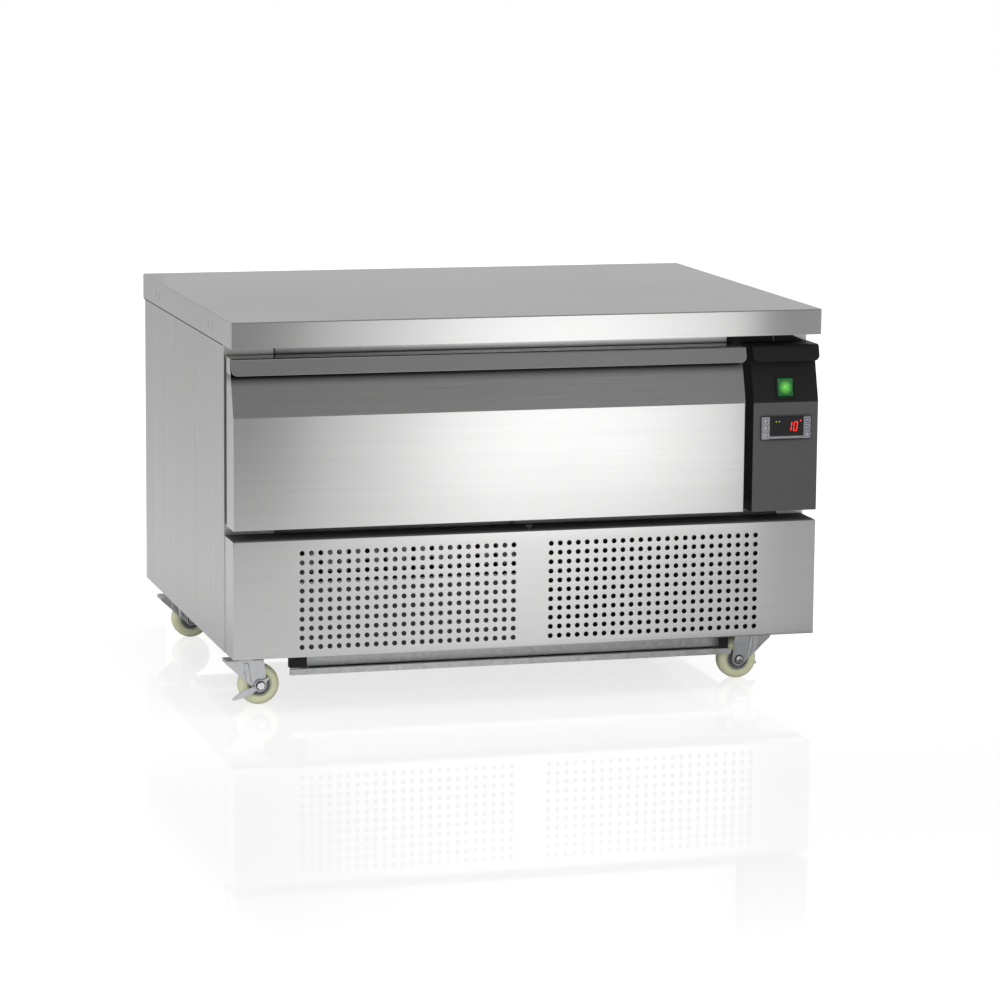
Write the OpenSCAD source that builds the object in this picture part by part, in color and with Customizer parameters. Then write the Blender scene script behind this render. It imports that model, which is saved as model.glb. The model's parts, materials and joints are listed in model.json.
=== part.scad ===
// Freezer chef base: a low refrigerated cabinet on castors with one wide insulated drawer,
// a control box at the right, a perforated base panel and a heavy worktop for cooking equipment.
// Millimetres, +X right, +Y to the back, +Z up, origin on the floor under the worktop's centre.

/* [Worktop] */
// How far the worktop reaches past each side panel
top_over = 2; // [1:0.5:20]
// How far the worktop reaches past the back panel
top_rear = 6; // [2:1:20]
// Height of the worktop's folded skirt
skirt_h = 38; // [34:1:60]
// Sheet thickness of the worktop
top_t = 1.5; // [1:0.1:2]
// Outer radius of the worktop's upright corners
top_r = 3; // [2.5:0.5:6]
// Depth of the flange folded in under the front skirt
top_return = 18; // [10:1:30]
// Thickness of the board bonded under the sheet
board_t = 20; // [15:1:24]

/* [Cabinet] */
// Depth from the worktop's front to the cabinet's front frame
front_reach = 60; // [58:1:80]
// Thickness of the insulated walls
wall_t = 52; // [50:1:64]
// Thickness of the insulated floor
floor_t = 46; // [40:1:60]
// Thickness of the insulated pillar beside the drawer opening
pillar_t = 42; // [30:1:60]
// Width of the evaporator section beside the drawer
evap_w = 112; // [106:1:140]
// Sheet thickness of the outer panels
sheet_t = 1; // [0.8:0.1:1.5]
// Sheet thickness of the inner liner
liner_t = 1; // [0.6:0.1:1.5]
// Distance from the left side to the seam in the front frame
seam_left = 74; // [60:1:90]
// Distance from the right side to the seam in the front frame
seam_right = 42; // [30:1:48]
// Width of the side panels' front flange beside the machine room
leg_w = 30; // [20:1:40]
// Height of the base panel and of the machine room behind it
base_h = 172; // [165:1:220]

/* [Drawer box] */
// Clear width inside the drawer, for two full-size pans side by side
pan_w = 652; // [640:1:700]
// Clear depth inside the drawer
pan_d = 532; // [525:1:560]
// Height of the drawer box
box_h = 150; // [110:1:200]
// Sheet thickness of the drawer box
box_t = 1; // [0.8:0.1:1.5]
// Width of the rim folded out round the drawer box
rim_w = 4; // [2:0.5:5]
// Gap between the drawer box and each side of the opening
box_side_gap = 8; // [7:0.5:12]
// Gap between the drawer box and the top of the opening
box_top_gap = 6; // [4:1:20]
// Space behind the closed drawer box
box_rear_gap = 38; // [20:1:60]

/* [Slides] */
// Width of a slide, from the wall inwards
slide_w = 12; // [12:0.5:13]
// Height of a slide
slide_h = 22; // [20:1:24]
// Thickness of the slides' steel
slide_t = 1.5; // [1.2:0.1:1.6]
// Running gap between the members of a slide
slide_gap = 0.3; // [0.3:0.1:0.5]
// Length of the slides
slide_len = 520; // [500:1:540]
// Height of the space under the drawer box that holds the slides
slide_zone = 28; // [28:1:36]
// Width of the ledge that carries the drawer box
ledge_w = 18; // [12:1:30]

/* [Drawer front] */
// How far the drawer's face lies behind the worktop's front
face_set = 3.5; // [3.5:0.5:8]
// How far the drawer front laps the frame at each side
lap_side = 50; // [35:1:51]
// How far the drawer front laps the frame above the opening
lap_top = 32; // [24:1:40]
// Gap between the base panel and the drawer front
low_gap = 15; // [12:1:18]
// Gap between the drawer front and the worktop's skirt
high_gap = 16; // [10:1:24]
// Height of the upright face below the slope
face_h = 164; // [150:1:170]
// How far the slope above the face leans back
slope_run = 23.5; // [18:0.5:28]
// Height of the lip that hangs from the top plate, as steep as the slope
lip_h = 23.5; // [20:0.5:28]
// How far the lip's foot lies behind the face
lip_back = 0.5; // [0:0.5:3]
// How far the top plate and the lip reach past the face at each end
cap_over = 1.5; // [0:0.5:1.5]
// Outer radius of the bend between the top plate and the lip
nose_r = 5; // [2.5:0.5:6]
// Radius of the lip's lower corners
lip_r = 8.5; // [4:0.5:9]
// Sheet thickness of the drawer front
skin_t = 1; // [0.8:0.1:1.5]
// Thickness of the drawer's inner panel
pan_t = 2; // [1.5:0.5:4]
// Depth of the space that holds the gasket
gasket_gap = 10; // [8:0.5:14]
// Width of the gasket
gasket_w = 14; // [12:1:18]
// Clearance between the closed gasket and the frame
gasket_clear = 0.3; // [0.2:0.1:0.6]

/* [Control box] */
// Gap between the drawer front and the control box
ctl_gap = 13; // [8:1:16]
// Wall thickness of the control box
ctl_t = 1.5; // [1:0.1:2]
// Thickness of the fascia on the lower face
fascia_t = 1; // [0.5:0.1:2]
// Length of the upstand's top edge, from the box's left side to the right
upstand_w = 79; // [60:1:82]
// How far the upstand reaches past the box's left side
upstand_past = 24; // [0:1:30]
// Height of the upstand above the top plate
upstand_h = 8.5; // [5:0.5:9]
// Width of the controller's bezel
bezel_w = 79; // [77:1:82]
// Height of the controller's bezel
bezel_h = 37; // [35:1:40]
// Thickness of the controller's bezel
bezel_t = 2.2; // [2:0.1:2.4]
// Width of the controller's case behind the bezel
case_w = 71; // [66:1:73]
// Height of the controller's case behind the bezel
case_h = 29; // [26:1:31]
// Depth of the controller's case behind the fascia
case_d = 44; // [30:1:46]
// Clearance round the controller's case
case_clear = 0.3; // [0.2:0.1:0.5]
// Height of the controller's centre above the control box's foot
bezel_up = 124.7; // [60:0.1:135]
// Width of the display window
window_w = 52.5; // [48:0.5:54]
// Height of the display window
window_h = 33.6; // [28:0.2:34]
// Thickness of the display window
window_t = 0.9; // [0.6:0.1:1.2]
// Width of a key
key_w = 10.8; // [9:0.1:11]
// Height of a key
key_h = 9.4; // [7:0.1:9.6]
// Distance between the keys of a column
key_pitch = 10.8; // [10.2:0.1:11.4]
// Thickness of a key
key_t = 1.3; // [1:0.1:1.4]
// How far a key stands proud of the bezel
key_proud = 0.5; // [0.3:0.1:1]
// How far a key can be pressed
key_travel = 0.6; // [0.3:0.1:0.6]
// Clearance round a key
key_clear = 0.25; // [0.15:0.05:0.3]

/* [Mains switch] */
// Width of the switch's bezel
switch_w = 31; // [29:0.5:34]
// Height of the switch's bezel
switch_h = 36; // [34:0.5:40]
// Thickness of the switch's bezel
switch_t = 1.5; // [1:0.1:1.7]
// Width of the rocker
rocker_w = 23.4; // [20:0.1:24]
// Height of the rocker
rocker_h = 28.6; // [26:0.1:29]
// Clearance round the rocker
rocker_clear = 0.4; // [0.3:0.05:0.6]
// Wall thickness of the switch's sleeve
sleeve_t = 1.2; // [1:0.1:1.4]
// Depth of the switch's sleeve
sleeve_d = 17; // [15:1:20]
// Height of the switch's centre above the face's upper edge, along the box
switch_up = 20.8; // [19.5:0.1:30]
// Depth of the rocker's pivot behind the slope
pivot_d = 5; // [4:0.5:6]
// Tilt of the rocker when it is switched on
rocker_tilt = 7; // [4:0.5:8]
// Radius of the rocker's pivot pins
pivot_r = 1.5; // [1:0.1:2]
// Running clearance of a pin or shaft in its bore
run_clear = 0.05; // [0.03:0.01:0.08]

/* [Base panel] */
// How far the base panel's face lies behind the worktop's front
base_set = 1; // [1:0.5:6]
// How far the base panel's ends lie inside the side panels
base_inset = 1; // [0:0.5:4]
// Sheet thickness of the base panel
base_t = 1.2; // [0.8:0.1:1.5]
// Depth of the flanges above and below the base panel
base_flange = 18; // [16:1:30]
// Diameter of the air holes
hole_d = 7; // [4:0.1:9]
// Distance between the air holes
hole_pitch = 13.75; // [10:0.05:13.9]
// Air holes across each field
hole_cols = 24; // [6:1:24]
// Air holes up each field
hole_rows = 11; // [4:1:11]
// Middle of the left field, from the panel's middle
field_left = -183; // [-190:1:-165]
// Middle of the right field, from the panel's middle
field_right = 190; // [165:1:210]
// Height of the fields' middle above the base panel's foot
field_up = 83.55; // [80:0.05:90]

/* [Thumbscrew] */
// Radius of the thumbscrew's head
thumb_r = 6; // [4:0.5:8]
// Height of the thumbscrew's head
thumb_h = 8; // [5:0.5:10]
// Radius of the thumbscrew's shank
shank_r = 2; // [1.5:0.5:3]
// Length of the thumbscrew's shank
shank_l = 9; // [6:1:14]

/* [Machine tray] */
// Height of the tray's floor above the room's floor
tray_z = 43; // [38:1:48]
// Height of the tray's rim
tray_rim = 9; // [6:1:14]
// Sheet thickness of the tray and of the aprons
tray_t = 1.5; // [1:0.1:2]
// Left end of the tray and its apron, from the middle
tray_left = -319; // [-325:1:-310]
// Right end of the tray and its apron, from the middle
tray_right = 321; // [300:1:322]
// Distance from the worktop's front to the tray's front bar
bar_set = 62; // [60:1:63]
// Depth of the tray's front bar
bar_d = 6; // [4:1:6]
// How far the front bar reaches past the tray at the left
bar_past_left = 25.5; // [0:0.5:26]
// How far the front bar reaches past the tray at the right
bar_past_right = 13; // [0:0.5:13]
// Distance from the worktop's front to the front apron
apron_set = 80; // [80:1:84]
// Distance from the worktop's front to the rear apron
apron_rear = 560; // [540:1:570]
// Sheet thickness of the base rails
rail_t = 2; // [1.5:0.5:3]
// Height of the base rails
rail_h = 30; // [20:1:40]
// Margin of a base rail round the castor plates
rail_margin = 4; // [2:0.5:6]

/* [Castors] */
// Left castors' swivel axis, from the left side of the worktop
castor_left = 36; // [36:1:38]
// Right castors' swivel axis, from the left side of the worktop
castor_right = 818; // [816:1:822]
// Front left swivel axis, from the worktop's front
castor_front_left = 81; // [78:1:95]
// Front right swivel axis, from the worktop's front
castor_front_right = 95; // [93:1:100]
// Rear swivel axes, from the worktop's front
castor_rear = 590; // [580:1:610]
// Diameter of the wheels
wheel_d = 60; // [50:1:60]
// Width of the wheels
wheel_w = 24; // [18:1:26]
// Rounding of the tread's edges
tread_r = 8; // [3:0.5:9]
// Outer radius of the recess in the wheel's side
recess_r = 17; // [14:0.5:20]
// Depth of the recess in the wheel's side
recess_d = 4; // [1:0.5:6]
// Radius of the wheel's hub
hub_r = 10; // [7:0.5:12]
// Distance from the swivel axis to the axle
trail = 20; // [14:1:21]
// Radius of the axle bolt
axle_r = 4; // [3:0.5:5]
// Gap between the wheel and each arm of the fork
fork_gap = 1.5; // [0.5:0.1:2]
// Thickness of the fork's steel
fork_t = 2.5; // [2:0.1:3]
// Gap between the wheel and the fork's crown
crown_gap = 5; // [4.5:0.5:8]
// Width of the fork's crown, behind the swivel axis
crown_back = 30; // [24:1:32]
// Height of the swivel bearing
hat_h = 9.2; // [6:0.1:14]
// Radius of the swivel bearing
hat_r = 20; // [16:0.5:24]
// Side of the castor's top plate
plate_w = 60; // [50:1:60]
// Thickness of the castor's top plate
plate_t = 3; // [2:0.5:4]
// Radius of the kingpin
kingpin_r = 6; // [4:0.5:8]
// Length of the brake pedal from the axle
pedal_l = 44; // [40:1:46]
// Thickness of the brake pedal
pedal_t = 2; // [1.5:0.5:3]
// Width of the brake pedal's tread
pedal_w = 13; // [8:1:18]

/* [Cooling parts] */
// Width of the condenser
cond_w = 288; // [220:1:290]
// Thickness of the condenser
cond_d = 44; // [30:1:50]
// Height of the condenser
cond_h = 140; // [132:1:142]
// Gap between the shroud's front plate and the condenser
cond_set = 6; // [4:1:10]
// Left side of the condenser's shroud, from the middle
shroud_left = -313; // [-316:1:-306]
// Sheet thickness of the shroud
shroud_t = 1.2; // [0.8:0.1:1.5]
// Width of the shroud's slots
slot_w = 10; // [6:0.5:14]
// Distance between the shroud's slots
slot_pitch = 24; // [18:0.5:30]
// Radius of the condenser fan
cond_fan_r = 62; // [50:1:63]
// Radius of the evaporator fan
evap_fan_r = 45; // [35:1:46]
// Gap between a fan and its ring
fan_gap = 3; // [2:0.5:5]
// Depth of a fan
fan_d = 22; // [16:1:26]
// Radius of a fan's shaft
shaft_r = 3; // [2:0.5:4]
// Radius of the fan motors
motor_r = 28; // [22:1:32]
// Length of the fan motors
motor_l = 46; // [36:1:60]
// Radius of the compressor's shell
comp_r = 72; // [55:1:75]
// Height of the compressor's shell
comp_h = 150; // [120:1:160]
// Height of the compressor's rubber mounts
grommet_h = 12; // [8:1:16]
// Radius of the copper pipes
pipe_r = 4; // [3:0.5:5]
// Length of the evaporator
evap_l = 230; // [180:1:250]
// Height of the evaporator
evap_h = 150; // [110:1:160]
// Thickness of the evaporator
evap_t = 70; // [50:1:80]
// Height of the evaporator above the liner's floor
evap_lift = 14; // [10:1:20]
// Thickness of the air baffle
baffle_t = 1.2; // [0.8:0.1:1.5]
// Height of the pan that the defrost water runs to
drip_h = 40; // [25:1:60]
// Radius of the cable gland
gland_r = 10; // [7:0.5:12]

/* [Hidden] */
$fn = 48;
eps = 0.01;

// Castor heights, from the floor up
axle_z = wheel_d / 2;
crown_z = wheel_d + crown_gap;
race_t = 2;
race_gap = 0.3;
castor_h = crown_z + fork_t + race_t + race_gap + hat_h + plate_t;

// Widths
box_w = pan_w + 2 * box_t;
opening_w = box_w + 2 * box_side_gap;
cab_w = opening_w + evap_w + 2 * wall_t;
cab_l = -cab_w / 2;
cab_r = cab_w / 2;
top_w = cab_w + 2 * top_over;
cav_l = cab_l + wall_t;
open_r = cav_l + opening_w;
cav_r = cab_r - wall_t;
front_l = cav_l - lap_side;
front_r = open_r + lap_side;
front_w = front_r - front_l;
ctl_l = front_r + ctl_gap;
ctl_w = cab_r - ctl_l;
ctl_x = ctl_l + ctl_w / 2;

// Depths
box_d = pan_d + 2 * box_t;
cav_d = box_d - gasket_gap + box_rear_gap;
cab_d = cav_d + wall_t;
top_d = front_reach + cab_d + top_rear;
top_f = -top_d / 2;
top_b = top_d / 2;
cab_f = top_f + front_reach;
cab_b = cab_f + cab_d;
cav_b = cab_f + cav_d;
face_y = top_f + face_set;
door_b = cab_f - gasket_gap;
pillar_b = cab_f + pillar_t;

// Heights
opening_h = slide_zone + box_h + box_top_gap;
base_top = castor_h + base_h;
open_z = base_top + floor_t;
open_top = open_z + opening_h;
door_z = base_top + low_gap;
door_top = open_top + lap_top;
break_z = door_z + face_h;
skirt_z = door_top + high_gap;
top_z = skirt_z + skirt_h;
cab_top = top_z - top_t - board_t;
box_z = open_z + slide_zone;

// The sloping upper part of the drawer front and of the control box
plate_z = door_top - skin_t;
slope_h = plate_z - break_z;
slope_a = atan2(slope_run, slope_h);
slope_t = skin_t / cos(slope_a);
function slope_y(z) = face_y + (z - break_z) * slope_run / slope_h;
lip_rise = lip_h - nose_r + nose_r * sin(slope_a);
lip_l = lip_rise / cos(slope_a);
nose_y = face_y + lip_back + lip_rise * tan(slope_a) + nose_r * cos(slope_a);
nose_z = door_top - nose_r;

// A block between two opposite corners
module block(low, high) { translate(low) cube(high - low); }
// A flat shape in x and z, carried back from y0 by t
module from_front(y0, t) { translate([0, y0 + t, 0]) rotate([90, 0, 0]) linear_extrude(t) children(); }
// A flat shape in y and z, carried to the right from x0 by t
module from_left(x0, t) { translate([x0, 0, 0]) rotate([90, 0, 90]) linear_extrude(t) children(); }
// A flat rectangle between two opposite corners
module flat(low, high) { translate(low) square(high - low); }
// A cylinder along +Y
module rod_y(r, l) { rotate([-90, 0, 0]) cylinder(r = r, h = l); }
// A cylinder along +X
module rod_x(r, l) { rotate([0, 90, 0]) cylinder(r = r, h = l); }

// A rectangle with rounded corners, true arcs
module round_rect(low, high, r) {
    flat(low + [r, 0], high - [r, 0]);
    flat(low + [0, r], high - [0, r]);
    for (x = [low[0] + r, high[0] - r], y = [low[1] + r, high[1] - r]) translate([x, y]) circle(r);
}

// Worktop: a folded stainless pan over a board
top_low = [-top_w / 2, top_f];
top_high = [top_w / 2, top_b];
pan_in = [top_t, top_t];
module worktop() color("gainsboro") {
    difference() {
        translate([0, 0, skirt_z]) linear_extrude(skirt_h) round_rect(top_low, top_high, top_r);
        translate([0, 0, skirt_z - 1]) linear_extrude(skirt_h + 1 - top_t)
            round_rect(top_low + pan_in, top_high - pan_in, top_r - top_t);
    }
    block([-top_w / 2 + top_r, top_f + top_t - eps, skirt_z],
        [top_w / 2 - top_r, top_f + top_return, skirt_z + top_t]);
}
module worktop_board() color("burlywood")
    translate([0, 0, cab_top]) linear_extrude(board_t)
        round_rect(top_low + pan_in, top_high - pan_in, top_r - top_t);

// Side panel at the left, with a front flange that is cut back round the drawer opening
module side_panel(tab_w) {
    block([cab_l, cab_f, castor_h], [cab_l + sheet_t, cab_b - sheet_t, cab_top]);
    from_front(cab_f, sheet_t) difference() {
        flat([cab_l, castor_h], [cab_l + tab_w, cab_top]);
        flat([cab_l + wall_t, open_z], [0, open_top]);
        flat([cab_l + leg_w, castor_h - 1], [0, base_top]);
    }
}
module left_side_panel() color("silver") side_panel(seam_left);
module right_side_panel() color("silver") mirror([1, 0, 0]) side_panel(seam_right);
module back_panel() color("darkgray")
    block([cab_l, cab_b - sheet_t, base_top], [cab_r, cab_b, cab_top]);

// Rear grille of the machine room, with rows of long slots
louvre_l = 150;
louvre_gap = 30;
louvre_cols = 4;
louvre_h = 6;
louvre_pitch = 14;
louvre_rows = 8;
louvre_up = 30;
gland_x = cab_r - 70;
gland_z = castor_h + base_h - 50;
gland_body_r = gland_r * 0.7;
gland_bore_r = gland_r * 0.4;
gland_nut = 4;
gland_in = 8;
gland_cap = top_rear - 1;
module rear_grille() color("darkgray") difference() {
    block([cab_l, cab_b - sheet_t, castor_h], [cab_r, cab_b, base_top]);
    for (i = [0 : louvre_cols - 1], k = [0 : louvre_rows - 1]) {
        x = (i - louvre_cols / 2) * (louvre_l + louvre_gap) + louvre_gap / 2;
        z = castor_h + louvre_up + k * louvre_pitch;
        block([x, cab_b - sheet_t - 1, z], [x + louvre_l, cab_b + 1, z + louvre_h]);
    }
    translate([gland_x, cab_b - sheet_t - 1, gland_z]) rod_y(gland_body_r + run_clear, sheet_t + 2);
}

// Cable gland in the rear grille: a threaded body, a nut inside and a cap outside
module cable_gland() color("black") difference() {
    union() {
        translate([gland_x, cab_b - sheet_t - gland_in, gland_z]) rod_y(gland_body_r, gland_in + sheet_t);
        translate([gland_x, cab_b, gland_z]) rod_y(gland_r, gland_cap);
        translate([gland_x, cab_b - sheet_t - gland_nut, gland_z]) rod_y(gland_r, gland_nut);
    }
    translate([gland_x, cab_b - sheet_t - gland_in - 1, gland_z])
        rod_y(gland_bore_r, gland_in + sheet_t + gland_cap + 2);
}

// Front frame between the side panels' flanges
module front_frame() color("lightgray") from_front(cab_f, sheet_t) difference() {
    flat([cab_l + seam_left, base_top], [cab_r - seam_right, cab_top]);
    flat([cav_l, open_z], [open_r, open_top]);
}

// Plan of the cold room, grown by g: the drawer's part and the evaporator's part behind the pillar
module cavity_plan(front, g) polygon([[cav_l - g, front], [open_r + g, front], [open_r + g, pillar_b - g],
    [cav_r + g, pillar_b - g], [cav_r + g, cav_b + g], [cav_l - g, cav_b + g]]);
pipe_x = cav_r - 30;
pipe_y = cav_b - 14;
module pipe_hole() translate([pipe_x, pipe_y, base_top - 1]) cylinder(r = pipe_r + 0.3, h = floor_t + 2);
module insulation() color("khaki") difference() {
    block([cab_l + sheet_t, cab_f + sheet_t, base_top], [cab_r - sheet_t, cab_b - sheet_t, cab_top]);
    translate([0, 0, open_z - liner_t]) linear_extrude(opening_h + 2 * liner_t)
        cavity_plan(cab_f - 1, liner_t);
    pipe_hole();
}
module inner_liner() color("lightsteelblue") difference() {
    translate([0, 0, open_z - liner_t]) linear_extrude(opening_h + 2 * liner_t)
        cavity_plan(cab_f + sheet_t, liner_t);
    translate([0, 0, open_z]) linear_extrude(opening_h) cavity_plan(cab_f - 1, 0);
    pipe_hole();
}

// Baffle between the drawer and the evaporator, with rows of air slots
baffle_slot_h = 8;
baffle_slot_l = 180;
baffle_slot_gap = 40;
baffle_slot_in = 60;
baffle_slot_up = 60;
baffle_slot_pitch = 22;
baffle_slot_rows = 5;
module air_baffle() color("gainsboro") from_left(open_r, baffle_t) difference() {
    flat([pillar_b, open_z], [cav_b, open_top]);
    for (i = [0, 1], k = [0 : baffle_slot_rows - 1]) {
        y = pillar_b + baffle_slot_in + i * (baffle_slot_l + baffle_slot_gap);
        z = open_z + baffle_slot_up + k * baffle_slot_pitch;
        flat([y, z], [y + baffle_slot_l, z + baffle_slot_h]);
    }
}

// Evaporator: a finned block on two feet, with return bends at its front
evap_x = (open_r + baffle_t + cav_r) / 2;
evap_f = cav_b - 24 - evap_l;
evap_z = open_z + evap_lift;
bend_r = 10;
evap_foot = 10;
evap_bends = 4;
evap_bend_pitch = 34;
module evaporator_coil() color("silver") {
    block([evap_x - evap_t / 2, evap_f, evap_z], [evap_x + evap_t / 2, evap_f + evap_l, evap_z + evap_h]);
    for (y = [evap_f + 2 * evap_foot, evap_f + evap_l - 3 * evap_foot])
        block([evap_x - evap_t / 2, y, open_z], [evap_x + evap_t / 2, y + evap_foot, evap_z + eps]);
    for (x = [-1, 1], k = [0 : evap_bends - 1]) {
        up = evap_h / 2 + (k - (evap_bends - 1) / 2) * evap_bend_pitch;
        translate([evap_x + x * evap_t / 4, evap_f, evap_z + up]) rotate([0, -90, 90]) rotate([0, 180, 0])
            rotate_extrude(angle = 180) translate([bend_r, 0]) circle(pipe_r);
    }
}

// A fan's rotor along +Y from the origin: a hub with pitched blades and a bore for the shaft
fan_blades = 5;
blade_t = 1.6;
blade_tilt = 32;
module rotor(tip_r) rotate([-90, 0, 0]) difference() {
    union() {
        cylinder(r = tip_r * 0.3, h = fan_d);
        intersection() {
            translate([0, 0, 1]) cylinder(r = tip_r, h = fan_d - 2);
            for (k = [1 : fan_blades]) rotate([0, 0, k * 360 / fan_blades])
                translate([tip_r / 2, 0, fan_d / 2]) rotate([blade_tilt, 0, 0])
                    cube([tip_r + 4, tip_r * 0.62, blade_t], center = true);
        }
    }
    translate([0, 0, -1]) cylinder(r = shaft_r + run_clear, h = fan_d + 2);
}
// A fan's motor along +Y behind the rotor, with its shaft and the arms that hold it to the ring
arm_h = 8;
arm_t = 2;
motor_band = 34;
module motor(reach) {
    arm_y = fan_d + 6;
    translate([0, 0.5, 0]) rod_y(shaft_r, fan_d + 2);
    translate([0, fan_d + 1, 0]) rod_y(motor_r * 0.8, motor_l);
    translate([0, fan_d + 5, 0]) rod_y(motor_r, motor_band);
    for (s = [-1, 1]) difference() {
        union() {
            block([min(0, s * reach), arm_y, -arm_h / 2], [max(0, s * reach), arm_y + arm_t, arm_h / 2]);
            block([s * reach - arm_t / 2, 0, -arm_h / 2], [s * reach + arm_t / 2, arm_y + arm_t, arm_h / 2]);
        }
        translate([0, fan_d, 0]) rod_y(motor_r - 1, motor_l);
    }
}

// Evaporator fan: a bulkhead across the section, with the motor on two arms
evap_fan_y = pillar_b + 50;
bulkhead_t = 2;
evap_fan_z = open_z + opening_h / 2;
evap_arm = evap_fan_r + fan_gap + 2;
module evaporator_fan_motor() color("dimgray") {
    difference() {
        block([open_r + baffle_t, evap_fan_y - bulkhead_t, open_z], [cav_r, evap_fan_y, open_top]);
        translate([evap_x, evap_fan_y - bulkhead_t - 1, evap_fan_z])
            rod_y(evap_fan_r + fan_gap, bulkhead_t + 2);
    }
    translate([evap_x, evap_fan_y - eps, evap_fan_z]) motor(evap_arm);
}
module evaporator_fan_blade() color("darkslategray")
    translate([evap_x, evap_fan_y - eps, evap_fan_z]) rotor(evap_fan_r);

// Drawer box: an open tray with a folded rim
box_l = cav_l + box_side_gap;
box_r = box_l + box_w;
module drawer_box() color("silver") difference() {
    union() {
        block([box_l, door_b, box_z], [box_r, door_b + box_d, box_z + box_h]);
        block([box_l - rim_w, door_b + gasket_gap + sheet_t, box_z + box_h - box_t],
            [box_r + rim_w, door_b + box_d + rim_w, box_z + box_h]);
    }
    block([box_l + box_t, door_b + box_t, box_z + box_t],
        [box_r - box_t, door_b + box_d - box_t, box_z + box_h + 1]);
}

// The upper skin of the drawer front and of the control box: a slope, a top plate and a hanging lip
function bend(r, a0, a1, n = 12) = [for (k = [0 : n]) let (a = a0 + (a1 - a0) * k / n)
    [nose_y + r * cos(a), nose_z + r * sin(a)]];
function down_lip(p, l) = [p.x - l * sin(slope_a), p.y - l * cos(slope_a)];
function sheet_plan(t, back) = let (outer = bend(nose_r, 180 - slope_a, 90),
    inner = bend(nose_r - t, 90, 180 - slope_a), past = lip_l + t)
    concat([down_lip(outer[0], past)], outer, [[back, door_top], [back, door_top - t]],
        inner, [down_lip(inner[len(inner) - 1], past)]);
module lip_front(x0, x1) {
    flat([x0, lip_r - lip_l], [x1, door_top]);
    flat([x0 + lip_r, -lip_l], [x1 - lip_r, lip_r - lip_l]);
    for (x = [x0 + lip_r, x1 - lip_r]) translate([x, lip_r - lip_l]) circle(lip_r);
}
module top_plate(x0, x1, t, back) intersection() {
    from_left(x0 - cap_over, x1 - x0 + 2 * cap_over) polygon(sheet_plan(t, back));
    translate([0, nose_y, nose_z]) rotate([-slope_a, 0, 0])
        from_front(-2 * nose_r, door_top) lip_front(x0 - cap_over, x1 + cap_over);
}
module slope_sheet() polygon([[face_y, break_z], [slope_y(plate_z), plate_z],
    [slope_y(plate_z) + slope_t, plate_z], [face_y + slope_t, break_z]]);
module cheek_plan() polygon([[face_y, break_z], [slope_y(plate_z), plate_z],
    [door_b, plate_z], [door_b, break_z]]);
module drawer_handle_cap() color("darkgray") {
    top_plate(front_l, front_r, skin_t, door_b);
    from_left(front_l, front_w) slope_sheet();
    for (x = [front_l, front_r - skin_t]) from_left(x, skin_t) cheek_plan();
}
module drawer_face_panel() color("gainsboro") difference() {
    block([front_l, face_y, door_z], [front_r, door_b, break_z]);
    block([front_l + skin_t, face_y + skin_t, door_z + skin_t], [front_r - skin_t, door_b + 1, break_z + 1]);
}
module drawer_insulation() color("khaki") from_left(front_l + skin_t, front_w - 2 * skin_t)
    polygon([[face_y + slope_t, door_z + skin_t], [face_y + slope_t, break_z],
        [slope_y(plate_z) + slope_t, plate_z], [door_b - pan_t, plate_z], [door_b - pan_t, door_z + skin_t]]);
module drawer_inner_panel() color("whitesmoke")
    block([front_l + skin_t, door_b - pan_t, door_z + skin_t], [front_r - skin_t, door_b, plate_z]);

// Gasket round the opening: a foot, a waist and a head that meets the frame
function grow(g) = [[cav_l - g, open_z - g], [open_r + g, open_top + g]];
module ring(inner, outer) difference() {
    flat(grow(outer)[0], grow(outer)[1]);
    flat(grow(inner)[0], grow(inner)[1]);
}
gasket_in = 3;
gasket_d = gasket_gap - gasket_clear;
module drawer_gasket() color("dimgray") {
    from_front(door_b, gasket_d * 0.3) ring(gasket_in + 2, gasket_in + gasket_w - 2);
    from_front(door_b + gasket_d * 0.3 - eps, gasket_d * 0.3) ring(gasket_in + 4, gasket_in + gasket_w - 4);
    from_front(door_b + gasket_d * 0.6 - 2 * eps, gasket_d * 0.4 + 2 * eps)
        ring(gasket_in, gasket_in + gasket_w);
}

// Telescopic slides. Each plan lies in x from the wall inwards and z from the slide's foot
slide_f = cab_f + 4;
slide_z = open_z + 3;
step = slide_t + slide_gap;
module channel(k) {
    flat([k * step, k * step], [k * step + slide_t, slide_h - k * step]);
    flat([k * step, k * step], [slide_w, k * step + slide_t]);
    flat([k * step, slide_h - k * step - slide_t], [slide_w, slide_h - k * step]);
}
module inner_plan() {
    ledge_x = slide_w + slide_gap;
    ledge_z = box_z - slide_z;
    flat([2 * step, 2 * step], [2 * step + slide_t, slide_h - 2 * step]);
    flat([2 * step, 2 * step], [ledge_x + slide_t, 2 * step + slide_t]);
    flat([2 * step, slide_h - 2 * step - slide_t], [ledge_x + slide_t, slide_h - 2 * step]);
    flat([ledge_x, 2 * step], [ledge_x + slide_t, ledge_z]);
    flat([ledge_x, ledge_z - slide_t], [ledge_x + ledge_w, ledge_z]);
}
module slide_left() translate([cav_l, 0, slide_z]) from_front(slide_f, slide_len) children();
module slide_right() translate([open_r, 0, slide_z]) mirror([1, 0, 0])
    from_front(slide_f, slide_len) children();
module slide_outer_members() color("silver") {
    slide_left() channel(0);
    slide_right() channel(0);
}
module slide_mid_left() color("silver") slide_left() channel(1);
module slide_mid_right() color("silver") slide_right() channel(1);
module slide_inner_members() color("silver") {
    slide_left() inner_plan();
    slide_right() inner_plan();
}

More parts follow.
